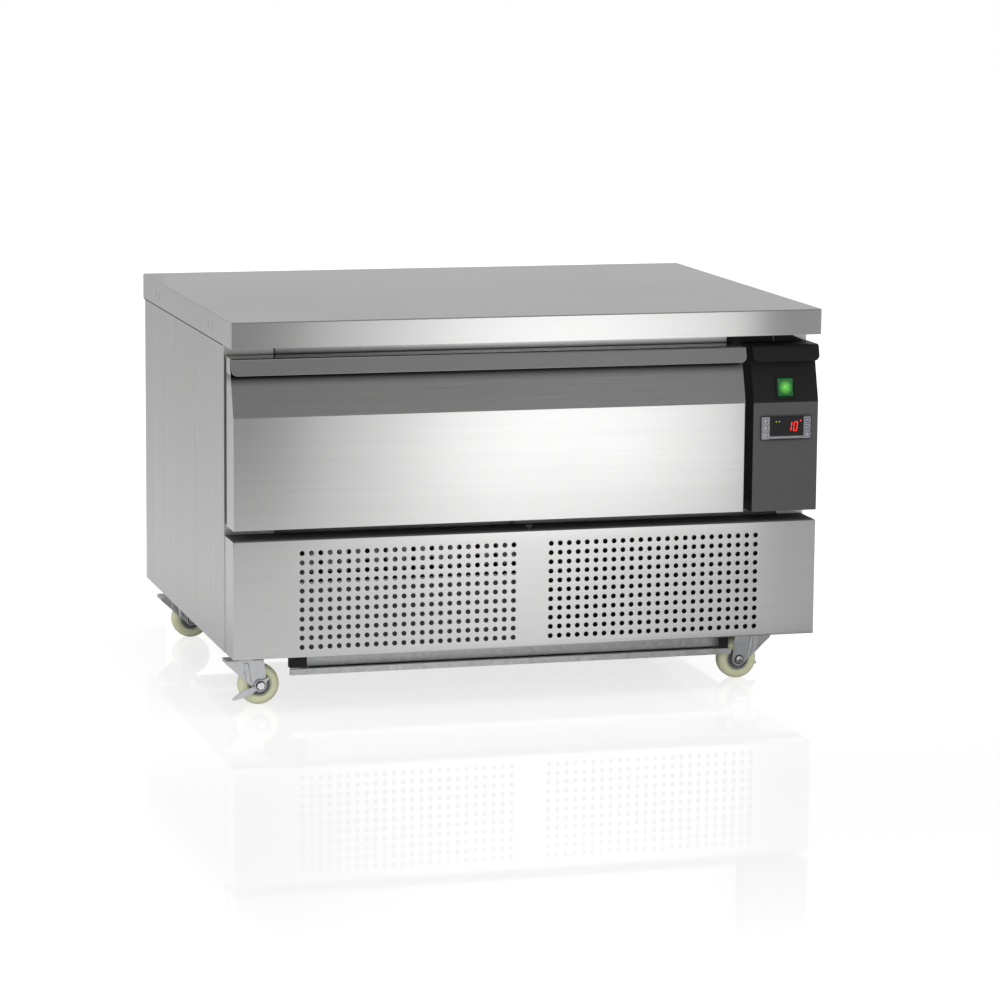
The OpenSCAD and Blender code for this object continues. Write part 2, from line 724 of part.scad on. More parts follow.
// Control box: the drawer front's profile as a closed case, with cutouts for the controller and the switch
shell_y = face_y + fascia_t;
bezel_z = door_z + bezel_up;
switch_z = break_z + switch_up;
module case_cut() from_front(face_y - 1, 20)
    flat([ctl_x - case_w / 2 - case_clear, bezel_z - case_h / 2 - case_clear],
        [ctl_x + case_w / 2 + case_clear, bezel_z + case_h / 2 + case_clear]);
sleeve_w = rocker_w + 2 * rocker_clear + 2 * sleeve_t;
sleeve_h = rocker_h + 2 * rocker_clear + 2 * sleeve_t;
// The switch's own place: x across, y into the slope, z up the slope
module at_switch() translate([ctl_x, slope_y(switch_z), switch_z]) rotate([-slope_a, 0, 0]) children();
module ctl_cheek() polygon([[shell_y, door_z], [shell_y, break_z], [face_y, break_z],
    [slope_y(plate_z), plate_z], [cab_f, plate_z], [cab_f, door_z]]);
upstand_slant = 18;
screw_r = 1.5;
screw_l = 8;
screw_head_r = 3;
screw_head_t = 1.4;
screw_places = [[cab_f - 22, door_z + 24], [cab_f - 16, door_top - 14]];
module control_housing() color([0.13, 0.13, 0.14]) difference() {
    union() {
        top_plate(ctl_l, cab_r, ctl_t, cab_f);
        from_left(ctl_l, ctl_w) slope_sheet();
        block([ctl_l, shell_y, door_z], [cab_r, shell_y + ctl_t, break_z]);
        block([ctl_l, face_y, break_z - ctl_t], [cab_r, shell_y + ctl_t, break_z + eps]);
        block([ctl_l, shell_y, door_z], [cab_r, cab_f, door_z + ctl_t]);
        for (x = [ctl_l, cab_r - ctl_t]) from_left(x, ctl_t) ctl_cheek();
        from_front(cab_f - ctl_t, ctl_t) polygon([[ctl_l - upstand_past, door_top - eps],
            [ctl_l - upstand_past, door_top + upstand_h], [ctl_l + upstand_w, door_top + upstand_h],
            [ctl_l + upstand_w + upstand_slant, door_top - eps]]);
    }
    case_cut();
    at_switch() block([-sleeve_w / 2 - case_clear, -5, -sleeve_h / 2 - case_clear],
        [sleeve_w / 2 + case_clear, 9, sleeve_h / 2 + case_clear]);
    for (p = screw_places) translate([ctl_l - 1, p[0], p[1]]) rod_x(screw_r + run_clear, ctl_t + 2);
}
module control_screws() color("silver") for (p = screw_places) translate([ctl_l, p[0], p[1]]) {
    translate([-screw_head_t, 0, 0]) rod_x(screw_head_r, screw_head_t);
    rod_x(screw_r, screw_l);
}
module control_fascia() color("dimgray") difference() {
    block([ctl_l, face_y, door_z], [cab_r, shell_y, break_z - ctl_t]);
    case_cut();
}

// Controller: a bezel with pockets for six keys and a seat for the window, and its case behind
bezel_f = face_y - bezel_t;
key_x = window_w / 2 + (bezel_w - window_w) / 4;
pocket_d = key_t - key_proud + key_travel + 0.3;
module key_block(i, y0, depth, grow_by) {
    side = i < 3 ? -1 : 1;
    x = ctl_x + side * key_x;
    z = bezel_z - (i % 3 - 1) * key_pitch;
    block([x - key_w / 2 - grow_by, y0, z - key_h / 2 - grow_by],
        [x + key_w / 2 + grow_by, y0 + depth, z + key_h / 2 + grow_by]);
}
module controller_case() color("silver") difference() {
    union() {
        block([ctl_x - bezel_w / 2, bezel_f, bezel_z - bezel_h / 2],
            [ctl_x + bezel_w / 2, face_y, bezel_z + bezel_h / 2]);
        block([ctl_x - case_w / 2, face_y - eps, bezel_z - case_h / 2],
            [ctl_x + case_w / 2, face_y + case_d, bezel_z + case_h / 2]);
    }
    block([ctl_x - window_w / 2, bezel_f - 1, bezel_z - window_h / 2],
        [ctl_x + window_w / 2, bezel_f + window_t, bezel_z + window_h / 2]);
    for (i = [0 : 5]) key_block(i, bezel_f - 1, pocket_d + 1, key_clear);
}
module display_window() color([0.05, 0.02, 0.02])
    block([ctl_x - window_w / 2, bezel_f, bezel_z - window_h / 2],
        [ctl_x + window_w / 2, bezel_f + window_t, bezel_z + window_h / 2]);
module key(i) color("silver") key_block(i, bezel_f - key_proud, key_t, 0);

// Mains switch: a bezel with a sleeve that carries the rocker's pivot pins
module switch_bezel() color([0.1, 0.1, 0.1]) at_switch() difference() {
    union() {
        block([-switch_w / 2, -switch_t, -switch_h / 2], [switch_w / 2, 0, switch_h / 2]);
        block([-sleeve_w / 2, -eps, -sleeve_h / 2], [sleeve_w / 2, sleeve_d, sleeve_h / 2]);
    }
    block([-rocker_w / 2 - rocker_clear, -switch_t - 1, -rocker_h / 2 - rocker_clear],
        [rocker_w / 2 + rocker_clear, sleeve_d - sleeve_t, rocker_h / 2 + rocker_clear]);
    translate([-sleeve_w, pivot_d, 0]) rod_x(pivot_r + run_clear, 2 * sleeve_w);
}
rocker_low = 3.4;
rocker_mid = 1.4;
rocker_back = 8;
module switch_rocker() color("limegreen") at_switch() translate([0, pivot_d, 0]) rotate([rocker_tilt, 0, 0]) {
    from_left(-rocker_w / 2, rocker_w) intersection() {
        circle(r = rocker_h / 2, $fn = 96);
        polygon([[-pivot_d - rocker_low, -rocker_h], [-pivot_d - rocker_mid, 0],
            [-pivot_d - rocker_low, rocker_h], [rocker_back - pivot_d, rocker_h],
            [rocker_back - pivot_d, -rocker_h]]);
    }
    translate([-rocker_w / 2 - rocker_clear - sleeve_t * 0.8, 0, 0])
        rod_x(pivot_r, rocker_w + 2 * rocker_clear + 1.6 * sleeve_t);
}

// Base panel: a flat face with two fields of air holes, on a folded surround
base_f = top_f + base_set;
base_l = cab_l + base_inset;
base_r = cab_r - base_inset;
module hole_field(middle) for (i = [0 : hole_cols - 1], j = [0 : hole_rows - 1])
    translate([middle + (i - (hole_cols - 1) / 2) * hole_pitch,
        castor_h + field_up + (j - (hole_rows - 1) / 2) * hole_pitch]) circle(d = hole_d, $fn = 24);
module base_grille() color("lightgray") from_front(base_f, base_t) difference() {
    flat([base_l, castor_h], [base_r, base_top]);
    hole_field(field_left);
    hole_field(field_right);
}
thumb_y = base_f + base_t + base_flange / 2;
module base_surround() color("silver") difference() {
    union() {
        for (x = [base_l, base_r - base_t])
            block([x, base_f + base_t, castor_h], [x + base_t, cab_f, base_top]);
        for (z = [castor_h, base_top - base_t])
            block([base_l, base_f + base_t, z], [base_r, base_f + base_t + base_flange, z + base_t]);
    }
    translate([0, thumb_y, base_top - base_t - 1]) cylinder(r = shank_r + run_clear, h = base_t + 2);
}
module thumbscrew() color("dimgray") translate([0, thumb_y, base_top]) {
    cylinder(r = thumb_r, h = thumb_h);
    translate([0, 0, -shank_l]) cylinder(r = shank_r, h = shank_l + eps);
}

// Castor places: the swivel axis in x and y, and the way the castor trails
castor_l_x = castor_left - top_w / 2;
castor_r_x = castor_right - top_w / 2;
CASTORS = [[castor_l_x, top_f + castor_front_left, 0], [castor_r_x, top_f + castor_front_right, 180],
    [castor_l_x, top_f + castor_rear, 0], [castor_r_x, top_f + castor_rear, 180]];
module at_castor(i) translate([CASTORS[i][0], CASTORS[i][1], 0]) rotate([0, 0, CASTORS[i][2]]) children();

// Castor plates: the top plate, the fixed half of the swivel bearing and the kingpin
module castor_plates() color("lightgray") for (i = [0 : 3]) at_castor(i) {
    translate([0, 0, castor_h - plate_t]) linear_extrude(plate_t)
        round_rect([-plate_w / 2, -plate_w / 2], [plate_w / 2, plate_w / 2], 6);
    translate([0, 0, castor_h - plate_t - hat_h]) cylinder(r = hat_r, h = hat_h + eps);
    translate([0, 0, crown_z - 0.3]) cylinder(r = kingpin_r, h = fork_t + race_t + race_gap + 1);
    translate([0, 0, crown_z - 2.3]) cylinder(r = kingpin_r + 3, h = 2);
}

// Fork: two arms with a slanted edge under a crown with the bearing's lower race, and the axle bolt
arm_in = wheel_w / 2 + fork_gap;
arm_out = arm_in + fork_t;
boss_r = 10;
bolt_head = 4;
bolt_r = 7;
module arm_plan() {
    polygon([[trail + 6, crown_z + fork_t], [trail + boss_r, axle_z + 2], [trail + boss_r, axle_z],
        [trail - boss_r * 0.7, axle_z - boss_r * 0.7], [-crown_back, crown_z - 2],
        [-crown_back, crown_z + fork_t]]);
    translate([trail, axle_z]) circle(boss_r);
}
module fork(i, braked) color("silver") at_castor(i) {
    difference() {
        union() {
            for (y = [-arm_out, arm_in]) from_front(y, fork_t) arm_plan();
            block([-crown_back, -arm_out, crown_z], [trail + 6, arm_out, crown_z + fork_t]);
            translate([0, 0, crown_z + fork_t - eps]) cylinder(r = hat_r - 2, h = race_t + eps);
        }
        translate([0, 0, crown_z - 1]) cylinder(r = kingpin_r + run_clear, h = fork_t + race_t + 2);
        translate([trail, -arm_out - 1, axle_z]) rod_y(axle_r + run_clear, 2 * arm_out + 2);
    }
    reach = arm_out + (braked ? pedal_t + 0.6 : 0.05);
    translate([trail, -reach, axle_z]) {
        rod_y(axle_r, reach + arm_out + bolt_head + 1);
        for (y = [-bolt_head, reach + arm_out + run_clear])
            translate([0, y, 0]) rotate([-90, 0, 0]) cylinder(r = bolt_r, h = bolt_head, $fn = 6);
    }
}

// Wheel: a moulded tyre with rounded edges, a recess in each side and a hub with the axle's bore
module wheel_plan() {
    half = wheel_w / 2;
    rim = wheel_d / 2;
    difference() {
        union() {
            flat([axle_r + run_clear, -half], [rim - tread_r, half]);
            flat([axle_r + run_clear, tread_r - half], [rim, half - tread_r]);
            for (y = [tread_r - half, half - tread_r]) translate([rim - tread_r, y]) circle(tread_r);
        }
        for (y = [-half - 1, half - recess_d]) flat([hub_r, y], [recess_r, y + recess_d + 1]);
    }
}
module wheel(i) color("palegoldenrod") at_castor(i) translate([trail, 0, axle_z]) rotate([-90, 0, 0])
    rotate_extrude($fn = 96) wheel_plan();

// Brake pedal: a lever on the axle bolt, outside the near arm, with a tread at its end
pedal_y = -arm_out - 0.3 - pedal_t;
pedal_drop = 13;
module pedal(i) color("lightgray") at_castor(i) translate([trail, 0, axle_z]) {
    difference() {
        from_front(pedal_y, pedal_t) {
            circle(9);
            polygon([[0, 9], [-8, 3], [-pedal_l, -pedal_drop], [-pedal_l, -pedal_drop - 5],
                [-14, -9], [0, -9]]);
            polygon([[0, 8], [12, 12], [14, 8], [6, -4]]);
        }
        translate([0, pedal_y - 1, 0]) rod_y(axle_r + run_clear, pedal_t + 2);
    }
    translate([-pedal_l, pedal_y - pedal_w, -pedal_drop - 2]) rotate([0, -12, 0])
        cube([22, pedal_w + eps, pedal_t]);
}

// Base frame: two rails over the castors, joined by an apron at the front and at the rear
rail_f = top_f + min(castor_front_left, castor_front_right) - plate_w / 2 - rail_margin + 2;
rail_b = cab_b - sheet_t;
rail_l_in = castor_l_x + plate_w / 2 + rail_margin;
rail_r_in = castor_r_x - plate_w / 2 - rail_margin;
apron_f = top_f + apron_set;
apron_b = top_f + apron_rear;
tray_top = tray_z + tray_rim;
module base_frame() color("gray") {
    for (edge = [[cab_l + sheet_t, rail_l_in, cab_l + sheet_t],
        [rail_r_in, cab_r - sheet_t, cab_r - sheet_t - rail_t]]) {
        block([edge[0], cab_f + sheet_t, castor_h], [edge[1], rail_b, castor_h + rail_t]);
        block([edge[2], cab_f + sheet_t, castor_h], [edge[2] + rail_t, rail_b, castor_h + rail_h]);
    }
    for (s = [[apron_f, cab_f + sheet_t], [apron_b, apron_b]]) {
        block([cab_l + sheet_t, s[0], castor_h + rail_t - eps],
            [cab_r - sheet_t, s[0] + tray_t, castor_h + rail_h]);
        block([tray_left, s[0], tray_top], [tray_right, s[0] + tray_t, castor_h + rail_h]);
        block([cab_l + sheet_t, s[1], castor_h + rail_t - eps],
            [cab_r - sheet_t, s[1] + apron_f - cab_f - sheet_t + tray_t, castor_h + rail_t + tray_t]);
    }
    for (x = [tray_left, tray_right - tray_t])
        block([x, apron_f, tray_top], [x + tray_t, apron_b + tray_t, castor_h + rail_h]);
}

// Machine tray: a floor hung under the aprons, with a low rim and a wider bar along its front
bar_f = top_f + bar_set;
module machine_tray() color("silver") {
    block([tray_left, bar_f, tray_z], [tray_right, apron_b + tray_t, tray_z + tray_t]);
    for (x = [tray_left, tray_right - tray_t])
        block([x, bar_f, tray_z], [x + tray_t, apron_b + tray_t, tray_top]);
    block([tray_left, apron_b, tray_z], [tray_right, apron_b + tray_t, tray_top]);
    difference() {
        block([tray_left - bar_past_left, bar_f, tray_z],
            [tray_right + bar_past_right, bar_f + bar_d, tray_top]);
        block([tray_left - bar_past_left + tray_t, bar_f + tray_t, tray_z + tray_t],
            [tray_right + bar_past_right - tray_t, bar_f + bar_d + 1, tray_top - tray_t]);
    }
}

// Condenser: a finned block on the tray, with return bends at its right end
floor_z = tray_z + tray_t;
cond_tube_r = 2.5;
bend_room = bend_r + cond_tube_r + 2;
cond_l = shroud_left + shroud_t + 4;
shroud_r = cond_l + cond_w + bend_room + shroud_t;
cond_f = apron_f + tray_t + cond_set;
cond_x = cond_l + cond_w / 2;
cond_fan_z = floor_z + cond_h / 2;
module condenser_coil() color("darkslategray") {
    block([cond_l, cond_f, floor_z], [cond_l + cond_w, cond_f + cond_d, floor_z + cond_h]);
    for (k = [0 : 3], y = [0.3, 0.7])
        translate([cond_l + cond_w, cond_f + cond_d * y, floor_z + 22 + k * 32])
            rotate([90, 0, 0]) rotate([0, 0, -90])
                rotate_extrude(angle = 180) translate([bend_r, 0]) circle(cond_tube_r);
}

// Shroud: a duct round the condenser, with a slotted plate above it at the front and the fan's ring
shroud_top = floor_z + cond_h + 4;
plate_top = base_top - 2;
ring_y = cond_f + cond_d + 20;
shroud_edge = 6;
module condenser_shroud() color("lightgray") {
    for (x = [shroud_left, shroud_r - shroud_t])
        difference() {
            block([x, cond_f, floor_z], [x + shroud_t, ring_y + shroud_t, shroud_top + shroud_t]);
            for (z = [feed_z, drain_z]) translate([shroud_r - 5, cond_y, z]) rod_x(pipe_r + 0.3, 10);
        }
    block([shroud_left, cond_f, shroud_top], [shroud_r, ring_y + shroud_t, shroud_top + shroud_t]);
    from_front(ring_y, shroud_t) difference() {
        flat([shroud_left, floor_z], [shroud_r, shroud_top + shroud_t]);
        translate([cond_x, cond_fan_z]) circle(cond_fan_r + fan_gap);
    }
    from_front(cond_f - shroud_t, shroud_t + eps) difference() {
        flat([shroud_left, shroud_top - shroud_edge], [shroud_r, plate_top]);
        flat([shroud_left + shroud_edge, shroud_top + 4], [shroud_r - shroud_edge, shroud_top + 11]);
        for (x = [shroud_left + 2 * shroud_edge : slot_pitch : shroud_r - 2 * shroud_edge - slot_w])
            flat([x, shroud_top + 16], [x + slot_w, plate_top - shroud_edge]);
    }
}
module condenser_fan_motor() color("dimgray")
    translate([cond_x, ring_y + shroud_t, cond_fan_z]) motor(cond_fan_r + fan_gap + 2);
module condenser_fan_blade() color("black")
    translate([cond_x, ring_y + shroud_t, cond_fan_z]) rotor(cond_fan_r);

// Compressor: a domed shell with a weld flange, on a foot plate and four rubber mounts
comp_x = 160;
comp_y = 40;
foot_z = floor_z + grommet_h;
dome_r = 28;
module compressor() color([0.12, 0.12, 0.12]) {
    translate([comp_x, comp_y, foot_z + 0.05]) {
        rotate_extrude() {
            flat([0, 0], [comp_r - dome_r, comp_h]);
            flat([0, dome_r], [comp_r, comp_h - dome_r]);
            flat([0, comp_h / 2 - 2], [comp_r + 4, comp_h / 2 + 2]);
            for (z = [dome_r, comp_h - dome_r]) intersection() {
                translate([comp_r - dome_r, z]) circle(dome_r);
                flat([0, 0], [comp_r, comp_h]);
            }
        }
        block([-comp_r - 18, -comp_r * 0.7, 0], [comp_r + 18, comp_r * 0.7, 3]);
        difference() {
            block([comp_r - 8, -22, comp_h * 0.35], [comp_r + 26, 22, comp_h * 0.35 + 52]);
            cylinder(r = comp_r - 1, h = comp_h);
        }
    }
    for (x = [-1, 1], y = [-1, 1])
        translate([comp_x + x * (comp_r + 8), comp_y + y * (comp_r * 0.7 - 10), floor_z])
            cylinder(r = 9, h = grommet_h);
}

// Copper pipes: straight runs with round corners, and the filter drier in the liquid line
module run(points, r) for (i = [1 : len(points) - 1]) {
    a = points[i - 1];
    d = points[i] - a;
    translate(a) rotate([0, acos(d[2] / norm(d)), atan2(d[1], d[0])]) cylinder(r = r, h = norm(d));
    if (i < len(points) - 1) translate(points[i]) sphere(r = r);
}
comp_top = foot_z + comp_h + 0.05;
pipe_z = base_top - pipe_r - 6;
feed_z = floor_z + cond_h - pipe_r - 2;
drain_z = floor_z + pipe_r + 2;
cond_y = cond_f + cond_d / 2;
coil_end = cond_l + cond_w;
feed_x = shroud_r + 12;
drier_x = shroud_r + 36;
drier_r = 10;
drier_l = 80;
capillary_r = 1.5;
suction_x = comp_x + 25;
suction_y = comp_y + 20;
feed_y = comp_y - 20;
module refrigerant_pipes() color("peru") {
    run([[suction_x, suction_y, comp_top], [suction_x, suction_y, pipe_z],
        [pipe_x, suction_y, pipe_z], [pipe_x, pipe_y, pipe_z],
        [pipe_x, pipe_y, evap_z + 30], [pipe_x, evap_f + evap_l, evap_z + 30]], pipe_r);
    run([[comp_x - 20, feed_y, comp_top], [comp_x - 20, feed_y, comp_top + 12],
        [feed_x, feed_y, comp_top + 12], [feed_x, feed_y, feed_z],
        [feed_x, cond_y, feed_z], [coil_end, cond_y, feed_z]], pipe_r);
    run([[coil_end, cond_y, drain_z], [drier_x, cond_y, drain_z], [drier_x, cond_y, drain_z + 20]], pipe_r);
    translate([drier_x, cond_y, drain_z + 15]) cylinder(r = drier_r, h = drier_l);
    run([[drier_x, cond_y, drain_z + 14 + drier_l], [drier_x, cond_y, pipe_z], [drier_x, suction_y, pipe_z],
        [suction_x, suction_y, pipe_z]], capillary_r);
}

// Pan for the defrost water, on the tray behind the condenser
drip_t = 1.5;
drip_w = 240;
drip_d = 140;
drip_low = [shroud_left + 10, apron_b - 10 - drip_d, floor_z];
drip_high = drip_low + [drip_w, drip_d, drip_h];
module evaporation_pan() color("dimgray") difference() {
    block(drip_low, drip_high);
    block(drip_low + [drip_t, drip_t, drip_t], drip_high + [-drip_t, -drip_t, 1]);
}

worktop();
worktop_board();
left_side_panel();
right_side_panel();
back_panel();
rear_grille();
base_frame();
front_frame();
insulation();
inner_liner();
air_baffle();
evaporator_coil();
evaporator_fan_motor();
evaporator_fan_blade();
drawer_box();
drawer_handle_cap();
drawer_face_panel();
drawer_insulation();
drawer_inner_panel();
drawer_gasket();
slide_outer_members();
slide_mid_left();
slide_mid_right();
slide_inner_members();
control_housing();
control_fascia();
controller_case();
display_window();
key(0);  // key_1
key(1);  // key_2
key(2);  // key_3
key(3);  // key_4
key(4);  // key_5
key(5);  // key_6
switch_bezel();
switch_rocker();
control_screws();
base_grille();
base_surround();
thumbscrew();
compressor();
condenser_coil();
condenser_shroud();
condenser_fan_motor();
condenser_fan_blade();
refrigerant_pipes();
machine_tray();
evaporation_pan();
cable_gland();
castor_plates();
fork(0, true);  // fork_front_left
fork(1, true);  // fork_front_right
fork(2, false);  // fork_rear_left
fork(3, false);  // fork_rear_right
wheel(0);  // wheel_front_left
wheel(1);  // wheel_front_right
wheel(2);  // wheel_rear_left
wheel(3);  // wheel_rear_right
pedal(0);  // pedal_left
pedal(1);  // pedal_right
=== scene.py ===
import json
import math
import bmesh
import bpy
import numpy as np
from mathutils import Matrix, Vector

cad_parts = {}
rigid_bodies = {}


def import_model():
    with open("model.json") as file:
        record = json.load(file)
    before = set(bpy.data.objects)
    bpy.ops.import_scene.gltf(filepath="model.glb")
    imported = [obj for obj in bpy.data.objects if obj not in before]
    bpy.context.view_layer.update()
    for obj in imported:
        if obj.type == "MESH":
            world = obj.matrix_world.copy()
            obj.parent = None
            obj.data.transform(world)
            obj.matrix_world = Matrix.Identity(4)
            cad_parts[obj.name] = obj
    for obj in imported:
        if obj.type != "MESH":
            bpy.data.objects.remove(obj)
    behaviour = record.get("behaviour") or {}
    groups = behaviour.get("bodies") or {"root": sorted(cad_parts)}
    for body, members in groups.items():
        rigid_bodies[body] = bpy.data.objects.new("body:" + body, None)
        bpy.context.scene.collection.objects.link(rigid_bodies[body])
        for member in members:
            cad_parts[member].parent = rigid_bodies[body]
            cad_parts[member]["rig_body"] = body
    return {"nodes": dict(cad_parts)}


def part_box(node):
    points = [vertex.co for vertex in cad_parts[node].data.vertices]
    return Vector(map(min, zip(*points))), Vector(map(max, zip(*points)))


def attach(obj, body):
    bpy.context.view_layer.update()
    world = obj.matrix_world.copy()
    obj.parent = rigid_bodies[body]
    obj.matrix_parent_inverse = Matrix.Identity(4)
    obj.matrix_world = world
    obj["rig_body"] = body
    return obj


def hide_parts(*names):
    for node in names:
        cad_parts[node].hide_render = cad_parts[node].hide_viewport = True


# Freezer chef base: the finish of every piece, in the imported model's own frame. Shapes are written in
# millimetres and scaled when they become meshes; the camera, the lamps and the room are in metres.
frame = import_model()
nodes = frame["nodes"]
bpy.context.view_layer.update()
scene = bpy.context.scene
mm = 0.001

# Camera: the photograph's view, from the front left and a little above, through a long lens.
camera_place = (-1.5384, -5.6034, 1.2028)
camera_lens = 137.4
camera_yaw, camera_pitch, camera_roll = (math.radians(a) for a in (15.82, 9.31, 0.51))


def turn(angle, axis):
    """A 3x3 rotation by an angle about one of the axes X, Y and Z."""
    return np.array(Matrix.Rotation(angle, 3, axis))


level_to_lens = np.array([[1, 0, 0], [0, 0, -1], [0, 1, 0]])
world_to_lens = turn(camera_roll, "Z") @ turn(camera_pitch, "X") @ level_to_lens @ turn(camera_yaw, "Z")
camera_axes = world_to_lens.T @ np.diag([1.0, -1.0, -1.0])
camera = bpy.data.objects.new("camera", bpy.data.cameras.new("camera"))
camera.data.lens = camera_lens
camera.data.sensor_width = 36.0
camera.data.clip_end = 60.0
camera.matrix_world = Matrix.Translation(camera_place) @ Matrix(camera_axes.tolist()).to_4x4()
scene.collection.objects.link(camera)
scene.camera = camera


def box(node):
    """The two opposite corners of a CAD node, in millimetres."""
    return [np.array(corner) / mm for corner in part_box(node)]


# Worktop: a pan of thick stainless sheet, folded down all round over a bonded board, with the bend's
# radius along its edges. Its finish is a fine grain along its length, which other sheets share.
worktop_low, worktop_high = box("worktop")
worktop_sheet, worktop_bend, worktop_corner, worktop_flange = 1.5, 2.2, 3, 18
stainless = (0.60, 0.60, 0.597)


def node_in(owner, kind, inputs=(), **settings):
    """A shader node of a material or world, with its inputs set to values or linked from outputs."""
    tree = owner.node_tree
    node = tree.nodes.new("ShaderNode" + kind)
    for name, value in settings.items():
        setattr(node, name, value)
    for socket, value in dict(inputs).items():
        if isinstance(value, bpy.types.NodeSocket):
            tree.links.new(value, node.inputs[socket])
        else:
            node.inputs[socket].default_value = value
    return node


def math_of(owner, first, second, operation="MULTIPLY"):
    """Two values put together by one operation: each is a number or an output."""
    return node_in(owner, "Math", {0: first, 1: second}, operation=operation).outputs[0]


def remap(owner, value, low, high, from_low=0.3, from_high=0.7, way="LINEAR"):
    """A value carried from one range to another."""
    ends = {"Value": value, "From Min": from_low, "From Max": from_high, "To Min": low, "To Max": high}
    return node_in(owner, "MapRange", ends, interpolation_type=way).outputs["Result"]


def plain_finish(name, colour, metallic, roughness, **sockets):
    """A material with one Principled shader and its constant sockets set."""
    material = bpy.data.materials.new(name)
    material.use_nodes = True
    inputs = material.node_tree.nodes["Principled BSDF"].inputs
    sockets.update(Base_Color=(*colour, 1.0), Metallic=metallic, Roughness=roughness)
    for socket, value in sockets.items():
        inputs[socket.replace("_", " ")].default_value = value
    return material


def texture_in(material, kind, scale, offset=(0.0, 0.0, 0.0), **inputs):
    """A texture of that kind on the piece's own coordinates, with scale cells per metre along x, y, z."""
    place = {"Vector": node_in(material, "TexCoord").outputs["Object"], "Location": offset}
    place["Scale"] = scale if isinstance(scale, tuple) else (scale,) * 3
    inputs["Vector"] = node_in(material, "Mapping", place).outputs["Vector"]
    return node_in(material, "Tex" + kind, inputs)


def noise_in(material, scale, detail=3.0, rough=0.55):
    """Fractal noise on the piece's own coordinates, as a factor."""
    return texture_in(material, "Noise", scale, Scale=1.0, Detail=detail, Roughness=rough).outputs["Fac"]


def into(material, socket, output):
    """The Principled shader's socket follows an output."""
    tree = material.node_tree
    tree.links.new(output, tree.nodes["Principled BSDF"].inputs[socket])


def tint(material, factor, dark, light, socket="Base Color"):
    """The colour runs from dark to light with the factor."""
    ends = {"Factor": factor, "A": (*dark, 1.0), "B": (*light, 1.0)}
    into(material, socket, node_in(material, "Mix", ends, data_type="RGBA").outputs["Result"])


def shaded(colour, by):
    """The colour made lighter or darker."""
    return tuple(min(1.0, c * by) for c in colour)


def brushed(name, colour, roughness, grain, anisotropic=0.8, contrast=0.03, fineness=1100.0):
    """Stainless sheet with a fine grain along X, Y or Z: its streaks change the colour and the gloss a
    little, and its highlights spread square to the grain, along the product of grain and normal."""
    material = plain_finish(name, colour, 1.0, roughness, Anisotropic=anisotropic)
    fine, broad, along = [fineness] * 3, [150.0] * 3, [0.02, 0.03, 0.025]
    index = "XYZ".index(grain)
    fine[index], broad[index], along[index] = 12000 / fineness, 1.0, 1.0
    streaks = noise_in(material, tuple(fine), 2.0, 0.6)
    bands = noise_in(material, tuple(broad), 2.0, 0.6)
    both = math_of(material, remap(material, streaks, 0, 0.5), remap(material, bands, 0, 0.5), "ADD")
    tint(material, both, shaded(colour, 1 - contrast), shaded(colour, 1 + contrast))
    clouds = remap(material, noise_in(material, 2.5, 2.0), roughness - 0.015, roughness + 0.015)
    gloss = remap(material, streaks, -0.02, 0.02)
    into(material, "Roughness", math_of(material, clouds, gloss, "ADD"))
    facing = node_in(material, "NewGeometry").outputs["Normal"]
    tangent = node_in(material, "VectorMath", {0: along, 1: facing}, operation="CROSS_PRODUCT")
    into(material, "Tangent", tangent.outputs["Vector"])
    return material


def arc(centre, radius, start, end, steps=5):
    """Points of an arc from one angle to another, in degrees."""
    angle = np.radians(np.linspace(start, end, steps + 1))
    return [(centre[0] + radius * math.cos(a), centre[1] + radius * math.sin(a)) for a in angle]


def round_rect(low, high, radius, steps=5):
    """The outline of a rectangle with round corners, corner by corner from the upper right."""
    r = max(radius, 0.001)
    x, y = (low[0] + r, high[0] - r), (low[1] + r, high[1] - r)
    centres = ((x[1], y[1]), (x[0], y[1]), (x[0], y[0]), (x[1], y[0]))
    return np.array([p for k, c in enumerate(centres) for p in arc(c, r, 90 * k, 90 * k + 90, steps)])


def raised(points, depth, axis):
    """Points of a plane square to the axis, set at that depth along it."""
    flat = np.full((len(points), 3), float(depth))
    flat[:, [k for k in range(3) if k != "XYZ".index(axis)]] = points
    return flat


def skin(grid, around=False):
    """Faces over a grid of rings: flat faces close the first and last, or around joins those two."""
    grid = np.array(grid)
    count, size = grid.shape[:2]
    i, j = np.meshgrid(np.arange(count if around else count - 1), np.arange(size), indexing="ij")
    k, side = (i + 1) % count, (j + 1) % size
    quads = np.stack([i * size + j, i * size + side, k * size + side, k * size + j], -1)
    faces = quads.reshape(-1, 4).tolist()
    if not around:
        faces += [list(range(size))[::-1], list(range((count - 1) * size, count * size))]
    return grid.reshape(-1, 3), faces


def shell(low, high, corner, section, axis, steps=5, around=False):
    """A round-cornered rectangle carried along a section of (inset, depth) pairs, one ring for each."""
    made = []
    for inset, depth in section:
        inner = ((low[0] + inset, low[1] + inset), (high[0] - inset, high[1] - inset))
        made.append(raised(round_rect(*inner, corner - inset, steps), depth, axis))
    return skin(made, around)


def prism(outline, axis, start, end):
    """A flat outline in the plane square to the axis, as a solid from start to end."""
    return skin([raised(outline, start, axis), raised(outline, end, axis)])


def block(low, high):
    """A box between two opposite corners."""
    corners = [(low[0], low[1]), (high[0], low[1]), (high[0], high[1]), (low[0], high[1])]
    return prism(corners, "Z", low[2], high[2])


def joined(*shapes):
    """Several shapes as one."""
    points, faces, first = [], [], 0
    for shape_points, shape_faces in shapes:
        points.append(np.asarray(shape_points))
        faces += [[k + first for k in face] for face in shape_faces]
        first += len(shape_points)
    return np.concatenate(points), faces


